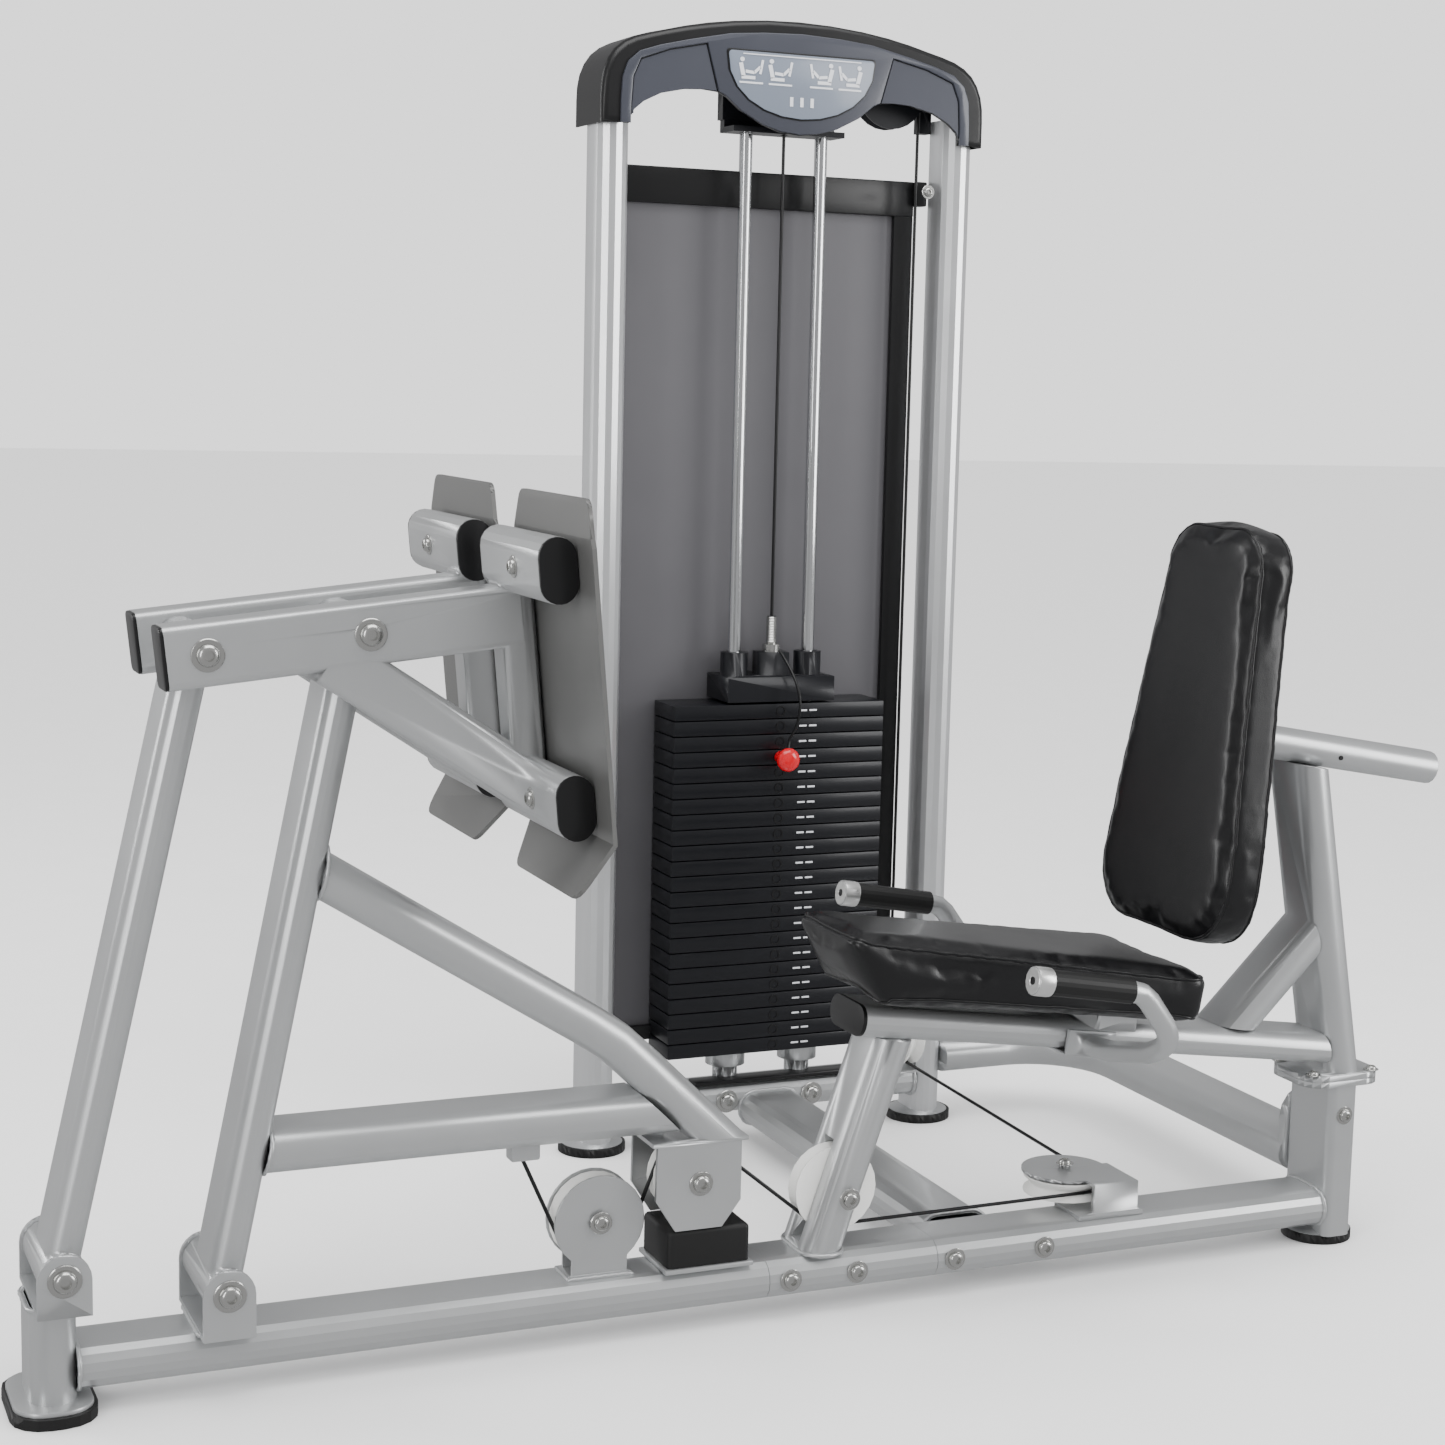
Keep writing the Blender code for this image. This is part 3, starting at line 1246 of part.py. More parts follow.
def build_cables():
    swing = swing_cable_points()
    round_wire("cable_swing", swing, CABLE_R, CABLE_BLACK)
    gap_way = X_AXIS * GAP
    frame_run = [P3 - Z_AXIS * GROOVE_R + gap_way]
    frame_run += pulley_arc(P4, -90, 0, X_AXIS, Y_AXIS)
    frame_run += arc(P5, GROOVE_R, -90, 0, 7, Y_AXIS, Z_AXIS)
    frame_run += pulley_arc(T1, 0, 90, X_AXIS, Z_AXIS)
    frame_run += pulley_arc(T2, 90, 180, X_AXIS, Z_AXIS)
    round_wire("cable_frame", frame_run, CABLE_R, CABLE_BLACK)
    top = Vector((TOWER_X, TOWER_Y, TOP_PULLEY_Z - GAP))
    low = Vector((TOWER_X, TOWER_Y, 0.792 + GAP))
    round_wire("cable_stack", [top, low], CABLE_R, CABLE_BLACK)


def swing_cable_points():
    """Anchor, under the rail pulley, over the moving pulley, and under the post pulley."""
    enter = tangent_angle(P1, ANCHOR, 1)
    base, cross = inner_tangent(P1, P2)
    leave = base - cross
    over = base - cross + 180
    base_2, cross_2 = inner_tangent(P2, P3)
    off = base_2 + cross_2
    onto = base_2 + cross_2 - 180
    points = [ANCHOR + Z_AXIS * 0.006]
    points += pulley_arc(P1, enter, leave + 360, X_AXIS, Z_AXIS)
    points += pulley_arc(P2, over, off, X_AXIS, Z_AXIS, SWING_GROOVE_R)
    points += pulley_arc(P3, onto + 360, 270, X_AXIS, Z_AXIS)
    return points


def main():
    build_rail()
    build_front_post()
    build_rear_post()
    build_links()
    build_swing_frame()
    build_carriage()
    build_brackets()
    build_bumper()
    build_pulleys()
    build_uprights()
    build_tower_base()
    build_side_tube()
    build_top_beam()
    build_guide_rods()
    build_rear_panel()
    build_shroud()
    build_plates("weight_plates_resting", 0, RESTING_PLATES, False)
    build_plates("weight_plates_lifted", RESTING_PLATES, LIFTED_PLATES, True)
    build_head_plate()
    build_selector_pin()
    build_seat_frame()
    build_backrest()
    build_seat_pad()
    build_handles()
    build_cables()


main()
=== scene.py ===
import json
import math

import bmesh
import bpy
from bpy.props import FloatProperty, FloatVectorProperty, PointerProperty
from mathutils import Matrix, Vector
from mathutils.bvhtree import BVHTree
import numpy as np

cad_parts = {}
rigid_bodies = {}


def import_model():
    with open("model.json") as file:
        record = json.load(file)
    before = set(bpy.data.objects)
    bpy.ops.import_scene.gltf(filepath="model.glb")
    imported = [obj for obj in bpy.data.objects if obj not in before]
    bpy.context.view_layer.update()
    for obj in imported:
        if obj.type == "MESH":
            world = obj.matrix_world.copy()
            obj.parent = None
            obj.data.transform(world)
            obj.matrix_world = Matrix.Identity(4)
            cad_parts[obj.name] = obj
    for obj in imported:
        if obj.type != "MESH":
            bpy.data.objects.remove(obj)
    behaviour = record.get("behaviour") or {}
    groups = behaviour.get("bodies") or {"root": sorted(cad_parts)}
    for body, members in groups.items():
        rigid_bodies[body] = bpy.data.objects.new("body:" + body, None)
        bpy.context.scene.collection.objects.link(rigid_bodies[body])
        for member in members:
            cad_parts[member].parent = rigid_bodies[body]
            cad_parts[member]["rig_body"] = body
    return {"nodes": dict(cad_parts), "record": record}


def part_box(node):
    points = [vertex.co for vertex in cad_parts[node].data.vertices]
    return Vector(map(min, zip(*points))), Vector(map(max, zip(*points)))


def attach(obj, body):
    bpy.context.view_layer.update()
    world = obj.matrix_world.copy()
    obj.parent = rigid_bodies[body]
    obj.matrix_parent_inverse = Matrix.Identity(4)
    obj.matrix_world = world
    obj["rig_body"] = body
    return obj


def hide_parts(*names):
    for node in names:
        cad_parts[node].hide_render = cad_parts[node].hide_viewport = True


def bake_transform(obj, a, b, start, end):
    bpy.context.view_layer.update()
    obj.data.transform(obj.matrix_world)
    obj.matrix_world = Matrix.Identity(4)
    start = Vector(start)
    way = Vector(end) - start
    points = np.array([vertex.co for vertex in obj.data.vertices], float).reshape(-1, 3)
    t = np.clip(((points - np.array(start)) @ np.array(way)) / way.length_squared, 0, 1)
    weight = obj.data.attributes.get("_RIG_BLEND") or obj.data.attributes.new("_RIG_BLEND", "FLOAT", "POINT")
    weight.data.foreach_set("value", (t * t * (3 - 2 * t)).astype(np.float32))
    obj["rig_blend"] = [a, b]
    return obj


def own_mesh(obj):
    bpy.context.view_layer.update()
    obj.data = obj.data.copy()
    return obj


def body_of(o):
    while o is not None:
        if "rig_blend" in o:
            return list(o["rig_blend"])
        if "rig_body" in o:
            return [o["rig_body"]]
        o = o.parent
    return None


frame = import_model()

bl_info = {
    "name": "Leg press machine",
    "version": (1, 0, 0),
    "blender": (4, 5, 0),
    "location": "View3D > Sidebar > Leg press",
    "description": "Finishes and detailed pieces for a seated leg press with a weight-stack tower",
    "category": "Object",
}

X = Vector((1.0, 0.0, 0.0))
Y = Vector((0.0, 1.0, 0.0))
Z = Vector((0.0, 0.0, 1.0))

# Places that the pieces share, in metres in the frame of the machine
PIVOT_A = Vector((0.008, 0.0, 0.165))
PIVOT_B = Vector((0.184, 0.0, 0.126))
PIVOT_A_TOP = Vector((0.157, 0.0, 0.8405))
PIVOT_B_TOP = Vector((0.331, 0.0, 0.8595))
ARM_OUTER_Y = 0.1055
ARM_INNER_Y = 0.0555
CHEEK_OUTER_Y = 0.0726
RAIL_TOP = 0.075
PLATE_LEAN = math.radians(5.22)
PLATE_LOW = Vector((0.540, 0.0, 0.654))
PLATE_UP = Vector((-math.sin(PLATE_LEAN), 0, math.cos(PLATE_LEAN)))
PLATE_BACK = Vector((-math.cos(PLATE_LEAN), 0, -math.sin(PLATE_LEAN)))
BAR_HEIGHTS = (0.034, 0.288)
TOWER_X = 1.1467
TOWER_Y = 0.6945
TOWER_HALF = 0.2708
CABLE_R = 0.0025
GROOVE_R = 0.050
SWING_GROOVE_R = 0.044
P1 = Vector((0.634, 0.0, 0.142))
P2 = Vector((0.752, 0.0, 0.185))
P3 = Vector((0.9465, 0.0, 0.147))
P4 = Vector((1.310, GROOVE_R, 0.0985))
ANCHOR = Vector((0.543, 0.0, 0.214))
SHROUD_FRONT = 0.640
SLEEVE_ORIGIN = Vector((1.660, 0.0, 0.671))
SLEEVE_SLOPE = math.radians(9.58)
STACK_FRONT = 0.651
STACK_BOTTOM = 0.1362
PITCH = 0.02305
RESTING_PLATES = 19
LIFTED_PLATES = 4
PIN_Z = STACK_BOTTOM + (RESTING_PLATES + 0.5) * PITCH + 0.0003
SIDES = (("near", -1), ("far", 1))
SEAM_DEPTH = 0.005


class LegPressSizes(bpy.types.PropertyGroup):
    """Sizes that change the look of the added pieces."""

    piping: FloatProperty(
        name="Piping radius", description="Half the thickness of the cushions' piping",
        default=0.0022, min=0.001, max=0.004, unit="LENGTH",
    )
    swell: FloatProperty(
        name="Cushion swell", description="How far a cushion's faces may swell out",
        default=0.007, min=0.0, max=0.02, unit="LENGTH",
    )
    bolt_head: FloatProperty(
        name="Pivot bolt head", description="Radius of the pivot bolts' domed heads",
        default=0.0135, min=0.01, max=0.018, unit="LENGTH",
    )
    bead: FloatProperty(
        name="Weld bead", description="Half the width of the weld beads",
        default=0.0026, min=0.001, max=0.004, unit="LENGTH",
    )


class LegPressColours(bpy.types.PropertyGroup):
    """Base colours of the finishes that a maker would change."""

    silver: FloatVectorProperty(
        name="Frame paint", description="Silver paint on the frame tubes",
        default=(0.56, 0.57, 0.575), min=0.0, max=1.0, size=3, subtype="COLOR",
    )
    bright: FloatVectorProperty(
        name="Tower paint", description="Light silver paint on the tower's uprights",
        default=(0.80, 0.81, 0.82), min=0.0, max=1.0, size=3, subtype="COLOR",
    )
    cover: FloatVectorProperty(
        name="Cover panels", description="Blue-grey panels of the tower's top cover",
        default=(0.040, 0.043, 0.056), min=0.0, max=1.0, size=3, subtype="COLOR",
    )
    vinyl: FloatVectorProperty(
        name="Upholstery", description="Vinyl of the seat and back cushions",
        default=(0.003, 0.003, 0.0036), min=0.0, max=1.0, size=3, subtype="COLOR",
    )
    knob: FloatVectorProperty(
        name="Selector knob", description="Moulded knob of the selector pin",
        default=(0.55, 0.0, 0.008), min=0.0, max=1.0, size=3, subtype="COLOR",
    )


# ---------------------------------------------------------------- finishes


def fine_grain():
    """Node group: slow tint and gloss changes with a fine height, over Object coordinates."""
    if "fine_grain" in bpy.data.node_groups:
        return bpy.data.node_groups["fine_grain"]
    group = bpy.data.node_groups.new("fine_grain", "ShaderNodeTree")
    face = group.interface
    defaults = {"Grain Scale": 900.0, "Patch Scale": 9.0, "Tint Spread": 0.06, "Gloss": 0.35, "Gloss Spread": 0.06}
    for name, value in defaults.items():
        socket = face.new_socket(name, in_out="INPUT", socket_type="NodeSocketFloat")
        socket.default_value = value
    for name in ("Tint", "Roughness", "Height"):
        face.new_socket(name, in_out="OUTPUT", socket_type="NodeSocketFloat")
    nodes, links = group.nodes, group.links
    source = nodes.new("NodeGroupInput")
    sink = nodes.new("NodeGroupOutput")
    place = nodes.new("ShaderNodeTexCoord").outputs["Object"]
    grain = nodes.new("ShaderNodeTexNoise")
    grain.inputs["Detail"].default_value = 2.0
    patch = nodes.new("ShaderNodeTexNoise")
    patch.inputs["Detail"].default_value = 4.0
    for texture, scale in ((grain, "Grain Scale"), (patch, "Patch Scale")):
        links.new(place, texture.inputs["Vector"])
        links.new(source.outputs[scale], texture.inputs["Scale"])
    links.new(grain.outputs["Fac"], sink.inputs["Height"])
    for spread, base, out in (("Tint Spread", None, "Tint"), ("Gloss Spread", "Gloss", "Roughness")):
        centred = nodes.new("ShaderNodeMath")
        centred.operation = "SUBTRACT"
        centred.inputs[1].default_value = 0.5
        links.new(patch.outputs["Fac"], centred.inputs[0])
        scaled = nodes.new("ShaderNodeMath")
        scaled.operation = "MULTIPLY_ADD"
        links.new(centred.outputs[0], scaled.inputs[0])
        links.new(source.outputs[spread], scaled.inputs[1])
        scaled.inputs[2].default_value = 1.0
        if base:
            links.new(source.outputs[base], scaled.inputs[2])
        links.new(scaled.outputs[0], sink.inputs[out])
    return group


def finish(name, colour, metallic, gloss, grain=900.0, bump=0.02, depth=0.0004, tint=0.12, coat=0.0, patch=9.0):
    """A material whose tint, gloss and fine relief all change over the surface."""
    if name in bpy.data.materials:
        return bpy.data.materials[name]
    material = bpy.data.materials.new(name)
    material.use_nodes = True
    tree = material.node_tree
    shader = tree.nodes["Principled BSDF"]
    group = tree.nodes.new("ShaderNodeGroup")
    group.node_tree = fine_grain()
    group.inputs["Grain Scale"].default_value = grain
    group.inputs["Patch Scale"].default_value = patch
    group.inputs["Tint Spread"].default_value = tint
    group.inputs["Gloss"].default_value = gloss
    group.inputs["Gloss Spread"].default_value = gloss * 0.35
    mix = tree.nodes.new("ShaderNodeMix")
    mix.data_type = "RGBA"
    mix.blend_type = "MULTIPLY"
    mix.inputs["Factor"].default_value = 1.0
    mix.inputs["A"].default_value = (*colour, 1.0)
    tree.links.new(group.outputs["Tint"], mix.inputs["B"])
    tree.links.new(mix.outputs["Result"], shader.inputs["Base Color"])
    tree.links.new(group.outputs["Roughness"], shader.inputs["Roughness"])
    relief = tree.nodes.new("ShaderNodeBump")
    relief.inputs["Strength"].default_value = bump
    relief.inputs["Distance"].default_value = depth
    tree.links.new(group.outputs["Height"], relief.inputs["Height"])
    tree.links.new(relief.outputs["Normal"], shader.inputs["Normal"])
    shader.inputs["Metallic"].default_value = metallic
    shader.inputs["Coat Weight"].default_value = coat
    shader.inputs["Coat Roughness"].default_value = 0.12
    return material


def silver_paint():
    return finish("silver_paint_coat", bpy.context.scene.leg_press_colours.silver, 0.8, 0.34, 2400, 0.10, coat=0.2)


def bright_paint():
    return finish("tower_paint_coat", bpy.context.scene.leg_press_colours.bright, 0.85, 0.30, 2400, 0.06, coat=0.2)


def plate_paint():
    return finish("foot_plate_coat", (0.15, 0.15, 0.147), 0.55, 0.42, 1300, 0.25, coat=0.1)


def zinc():
    return finish("zinc_plating", (0.62, 0.62, 0.60), 1.0, 0.24, 1500, 0.05)


def chrome():
    return finish("chrome_plating", (0.78, 0.79, 0.80), 1.0, 0.09, 500, 0.01, tint=0.03)


def aluminium():
    return finish("turned_aluminium", (0.82, 0.82, 0.81), 0.9, 0.32, 1800, 0.08)


def black_plastic():
    return finish("black_moulding", (0.004, 0.004, 0.0045), 0.0, 0.34, 1400, 0.12)


def black_paint():
    return finish("stack_paint", (0.006, 0.0065, 0.009), 0.25, 0.36, 1100, 0.18, coat=0.15)


def black_rubber():
    return finish("black_rubber_skin", (0.005, 0.005, 0.005), 0.0, 0.48, 900, 0.25)


def nylon():
    return finish("white_nylon_skin", (0.72, 0.72, 0.70), 0.0, 0.42, 700, 0.06)


def cover_panel():
    return finish("cover_panel_skin", bpy.context.scene.leg_press_colours.cover, 0.1, 0.30, 1600, 0.12, coat=0.3)


def rear_sheet():
    return finish("rear_sheet_skin", (0.100, 0.098, 0.106), 0.2, 0.42, 1200, 0.12)


def vinyl():
    colour = bpy.context.scene.leg_press_colours.vinyl
    return finish("upholstery_vinyl", colour, 0.0, 0.30, 1000, 0.35, 0.0005, coat=0.1)


def knob_red():
    return finish("knob_moulding", bpy.context.scene.leg_press_colours.knob, 0.0, 0.2, 400, 0.02, coat=0.6)


def pale_print():
    return finish("pale_print", (0.62, 0.63, 0.66), 0.0, 0.45, 900, 0.05)


def placard_blue():
    return finish("placard_print", (0.15, 0.175, 0.22), 0.0, 0.30, 900, 0.04, coat=0.3)


NODE_FINISHES = {
    "silver_paint": silver_paint,
    "bright_silver_paint": bright_paint,
    "plate_grey_paint": plate_paint,
    "chrome": chrome,
    "black_steel": black_paint,
    "black_rubber": black_rubber,
    "white_nylon": nylon,
    "shroud_plastic": black_plastic,
    "panel_plastic": rear_sheet,
    "black_vinyl": vinyl,
    "red_plastic": knob_red,
    "cable_coating": black_plastic,
}


# ---------------------------------------------------------------- shape helpers


def place_matrix(origin, across, along):
    """Local Z along `along` and local X as near `across` as a square frame allows."""
    z = along.normalized()
    x = (across - z * across.dot(z)).normalized()
    matrix = Matrix((x, z.cross(x), z)).transposed().to_4x4()
    matrix.translation = origin
    return matrix


def piece(name, edit, material, body, smooth=0.6):
    """Turns a bmesh into a finished piece that rides on a body."""
    bmesh.ops.remove_doubles(edit, verts=edit.verts, dist=1e-6)
    bmesh.ops.recalc_face_normals(edit, faces=edit.faces)
    mesh = bpy.data.meshes.new(name)
    edit.to_mesh(mesh)
    edit.free()
    mesh.shade_smooth()
    obj = bpy.data.objects.new(name, mesh)
    bpy.context.scene.collection.objects.link(obj)
    mesh.set_sharp_from_angle(angle=smooth)
    mesh.materials.append(material)
    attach(obj, body)
    return obj


def merge(target, source):
    """Adds one bmesh to another and frees it."""
    mesh = bpy.data.meshes.new("joined")
    source.to_mesh(mesh)
    source.free()
    target.from_mesh(mesh)
    bpy.data.meshes.remove(mesh)
    return target


def spun(profile, matrix, steps=32):
    """A closed turned shape from (radius, height) points, top to bottom, round local Z."""
    edit = bmesh.new()
    verts = [edit.verts.new((radius, 0, height)) for radius, height in profile]
    edges = [edit.edges.new(pair) for pair in zip(verts, verts[1:])]
    bmesh.ops.spin(
        edit, geom=verts + edges, cent=(0, 0, 0), axis=(0, 0, 1), angle=2 * math.pi, steps=steps, use_merge=True,
    )
    bmesh.ops.remove_doubles(edit, verts=edit.verts, dist=1e-6)
    bmesh.ops.transform(edit, matrix=matrix, verts=edit.verts)
    return edit


def block(low, high, radius=0.0, segments=2, matrix=None):
    """A box with rounded edges."""
    low, high = Vector(low), Vector(high)
    edit = bmesh.new()
    scale = Matrix.Diagonal((*(high - low), 1.0))
    bmesh.ops.create_cube(edit, size=1.0, matrix=Matrix.Translation((low + high) / 2) @ scale)
    if radius:
        bmesh.ops.bevel(
            edit, geom=list(edit.edges), offset=radius, offset_type="OFFSET", segments=segments,
            profile=0.5, affect="EDGES", clamp_overlap=True, material=-1,
        )
    if matrix is not None:
        bmesh.ops.transform(edit, matrix=matrix, verts=edit.verts)
    return edit


def outline_face(corners, matrix=None):
    """One face from (across, up, corner radius) points, its corners rounded by a vertex bevel."""
    edit = bmesh.new()
    verts = [edit.verts.new((x, y, 0)) for x, y, _ in corners]
    edit.faces.new(verts)
    rounding = [(vert, radius) for vert, (_, _, radius) in zip(verts, corners) if radius]
    for radius in sorted({radius for _, radius in rounding}):
        group = [vert for vert, r in rounding if r == radius and vert.is_valid]
        bmesh.ops.bevel(
            edit, geom=group, offset=radius, offset_type="OFFSET", segments=6, profile=0.5,
            affect="VERTICES", clamp_overlap=True, material=-1,
        )
    if matrix is not None:
        bmesh.ops.transform(edit, matrix=matrix, verts=edit.verts)
    return edit


def slab(corners, thickness, matrix, edge=0.0, segments=2):
    """A plate of that outline, local z from 0 to thickness, with its front edge rounded."""
    edit = outline_face(corners)
    made = bmesh.ops.extrude_face_region(edit, geom=list(edit.faces), use_keep_orig=True)
    top = [item for item in made["geom"] if isinstance(item, bmesh.types.BMVert)]
    bmesh.ops.translate(edit, verts=top, vec=(0, 0, thickness))
    bmesh.ops.recalc_face_normals(edit, faces=edit.faces)
    if edge:
        raised = set(top)
        rim = [e for e in edit.edges if e.verts[0] in raised and e.verts[1] in raised]
        bmesh.ops.bevel(
            edit, geom=rim, offset=edge, offset_type="OFFSET", segments=segments, profile=0.5,
            affect="EDGES", clamp_overlap=True, material=-1,
        )
    bmesh.ops.transform(edit, matrix=matrix, verts=edit.verts)
    return edit


def oval_corners(wide, thick):
    half, high = wide / 2, thick / 2
    radius = min(half, high) * 0.999
    return [(half, high, radius), (-half, high, radius), (-half, -high, radius), (half, -high, radius)]


def tube_along(points, radius, closed=False, sides=8):
    """A round tube mesh that follows the points."""
    curve = bpy.data.curves.new("path", "CURVE")
    curve.dimensions = "3D"
    curve.bevel_depth = radius
    curve.bevel_resolution = max(1, sides // 2 - 2)
    curve.use_fill_caps = not closed
    spline = curve.splines.new("POLY")
    spline.points.add(len(points) - 1)
    for point, place in zip(spline.points, points):
        point.co = (*place, 1)
    spline.use_cyclic_u = closed
    holder = bpy.data.objects.new("path", curve)
    bpy.context.scene.collection.objects.link(holder)
    bpy.context.view_layer.update()
    mesh = bpy.data.meshes.new_from_object(holder.evaluated_get(bpy.context.evaluated_depsgraph_get()))
    edit = bmesh.new()
    edit.from_mesh(mesh)
    bpy.data.objects.remove(holder, do_unlink=True)
    bpy.data.curves.remove(curve)
    bpy.data.meshes.remove(mesh)
    bmesh.ops.remove_doubles(edit, verts=edit.verts, dist=1e-6)
    return edit


def arc(centre, radius, first, last, steps, u_axis, v_axis):
    points = []
    for step in range(steps + 1):
        angle = math.radians(first + (last - first) * step / steps)
        points.append(centre + u_axis * radius * math.cos(angle) + v_axis * radius * math.sin(angle))
    return points


def spaced(points, gap, closed=False):
    """The same path with points no further apart than the gap."""
    ring = points + [points[0]] if closed else points
    filled = [ring[0]]
    for here, there in zip(ring, ring[1:]):
        count = max(1, round((there - here).length / gap))
        filled += [here.lerp(there, (step + 1) / count) for step in range(count)]
    return filled[:-1] if closed else filled


# ---------------------------------------------------------------- camera and stage


CAMERA_PLACE = Vector((-0.3716, -2.8028, 1.1484))
CAMERA_YAW, CAMERA_PITCH, CAMERA_ROLL = math.radians(24.6178), math.radians(7.9578), math.radians(1.6002)


def add_camera():
    forward = Vector((
        math.sin(CAMERA_YAW) * math.cos(CAMERA_PITCH), math.cos(CAMERA_YAW) * math.cos(CAMERA_PITCH),
        -math.sin(CAMERA_PITCH),
    ))
    right = Vector((math.cos(CAMERA_YAW), -math.sin(CAMERA_YAW), 0))
    right = Matrix.Rotation(-CAMERA_ROLL, 3, forward) @ right
    matrix = Matrix((right, right.cross(forward), -forward)).transposed().to_4x4()
    matrix.translation = CAMERA_PLACE
    data = bpy.data.cameras.new("studio_camera")
    data.lens = 63.974
    data.sensor_width = 36.0
    data.shift_x = -0.0674
    data.shift_y = 0.0084
    camera = bpy.data.objects.new("studio_camera", data)
    camera.matrix_world = matrix
    bpy.context.scene.collection.objects.link(camera)
    bpy.context.scene.camera = camera


def add_light(name, place, target, size, power, size_y=None):
    data = bpy.data.lights.new(name, "AREA")
    data.shape = "RECTANGLE"
    data.size = size
    data.size_y = size_y or size
    data.energy = power
    light = bpy.data.objects.new(name, data)
    light.location = place
    light.rotation_euler = (Vector(target) - Vector(place)).to_track_quat("-Z", "Y").to_euler()
    bpy.context.scene.collection.objects.link(light)


def add_world():
    world = bpy.data.worlds.new("studio")
    bpy.context.scene.world = world
    world.use_nodes = True
    tree = world.node_tree
    back = tree.nodes["Background"]
    back.inputs["Strength"].default_value = 1.0
    ray = tree.nodes.new("ShaderNodeLightPath")
    mix = tree.nodes.new("ShaderNodeMix")
    mix.data_type = "RGBA"
    mix.inputs["A"].default_value = (1.65, 1.65, 1.65, 1.0)
    mix.inputs["B"].default_value = (0.42, 0.42, 0.425, 1.0)
    tree.links.new(ray.outputs["Is Glossy Ray"], mix.inputs["Factor"])
    tree.links.new(mix.outputs["Result"], back.inputs["Color"])


class LEGPRESS_OT_stage(bpy.types.Operator):
    """Adds the camera, the pale floor and the soft studio lights"""

    bl_idname = "legpress.stage"
    bl_label = "Stage"

    def execute(self, context):
        add_camera()
        add_world()
        edit = bmesh.new()
        bmesh.ops.create_grid(edit, x_segments=1, y_segments=1, size=30.0)
        bmesh.ops.translate(edit, verts=edit.verts, vec=(0, 0, -0.0005))
        mesh = bpy.data.meshes.new("studio_floor")
        edit.to_mesh(mesh)
        edit.free()
        floor = bpy.data.objects.new("studio_floor", mesh)
        context.scene.collection.objects.link(floor)
        mesh.materials.append(finish("floor_paint", (0.93, 0.93, 0.93), 0.0, 0.7, 60, 0.01, tint=0.01))
        floor.visible_glossy = False
        middle = (0.9, 0.3, 0.6)
        add_light("top_softbox", (0.9, -0.6, 3.6), middle, 3.2, 80, 2.2)
        add_light("right_softbox", (4.2, -2.2, 1.8), middle, 1.6, 75, 2.4)
        add_light("left_strip", (-2.8, -2.4, 1.6), middle, 0.6, 42, 2.6)
        add_light("back_left_strip", (-2.2, 2.6, 1.9), middle, 0.9, 45, 2.6)
        return {"FINISHED"}


# ---------------------------------------------------------------- cables


def groove_points():
    """The swing cable in stretches, from its anchor to the post pulley."""

    def angle_of(v):
        return math.degrees(math.atan2(v.z, v.x))

    away = ANCHOR - P1
    enter = angle_of(away) + math.degrees(math.acos(GROOVE_R / math.hypot(away.x, away.z)))
    way = P2 - P1
    leave = angle_of(way) - math.degrees(math.acos((GROOVE_R + SWING_GROOVE_R) / math.hypot(way.x, way.z)))
    way = P3 - P2
    off = angle_of(way) + math.degrees(math.acos((GROOVE_R + SWING_GROOVE_R) / math.hypot(way.x, way.z)))
    first = arc(P1, GROOVE_R, enter, leave + 360, 16, X, Z)
    over = arc(P2, SWING_GROOVE_R, leave + 180, off, 12, X, Z)
    last = arc(P3, GROOVE_R, off + 180, 270, 6, X, Z)
    return first, over, last


class LEGPRESS_OT_cables(bpy.types.Operator):
    """Adds the coated steel cable in the stretches that move with the swing and the stack"""

    bl_idname = "legpress.cables"
    bl_label = "Cables"

    def execute(self, context):
        first, over, last = groove_points()
        stretches = (
            ("cable_anchor_run", [ANCHOR + Z * 0.008, first[0]], ("press_swing", "frame")),
            ("cable_rail_wrap", first, ("frame",)),
            ("cable_rise", [first[-1], over[0]], ("frame", "press_swing")),
            ("cable_swing_wrap", over, ("press_swing",)),
            ("cable_fall", [over[-1], last[0]], ("press_swing", "frame")),
            ("cable_post_wrap", last, ("frame",)),
        )
        for name, points, bodies in stretches:
            points = spaced(points, 0.008)
            edit = tube_along(points, CABLE_R, sides=10)
            obj = piece(name, edit, black_plastic(), bodies[0], 1.0)
            if name == "cable_rail_wrap":
                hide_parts("cable_swing")
            if len(bodies) == 2:
                release(obj)
                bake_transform(obj, *bodies, start=points[0], end=points[-1])
        low, high = 0.7923, 1.5647
        points = [Vector((TOWER_X, TOWER_Y, high - (high - low) * step / 20)) for step in range(21)]
        edit = tube_along(points, CABLE_R, sides=10)
        stack = piece("cable_drop", edit, black_plastic(), "frame", 1.0)
        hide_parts("cable_stack")
        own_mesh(stack)
        self.add_lanyard()
        return {"FINISHED"}

    def add_lanyard(self):
        """The cord that ties the selector pin to the stem's head."""
        start = Vector((TOWER_X + 0.004, 0.672, 0.742))
        knob = Vector((TOWER_X, STACK_FRONT - 0.028, PIN_Z + 0.012))
        points = []
        for step in range(25):
            t = step / 24
            place = start.lerp(knob, t)
            place.x += 0.014 * math.sin(math.pi * t)
            place.y -= 0.030 * math.sin(math.pi * min(1.0, t * 1.15)) ** 0.8
            points.append(place)
        edit = tube_along(points, 0.0021, sides=10)
        cord = piece("pin_lanyard", edit, black_plastic(), "stack", 1.0)
        release(cord)
        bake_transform(cord, "stack", "selector_pin", start=start, end=knob)


def release(obj):
    """Frees a piece from its body, because a piece that bends between two bodies has no parent."""
    obj.parent = None
    obj.matrix_world = Matrix.Identity(4)
    if "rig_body" in obj:
        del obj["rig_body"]


# ---------------------------------------------------------------- frame finishes


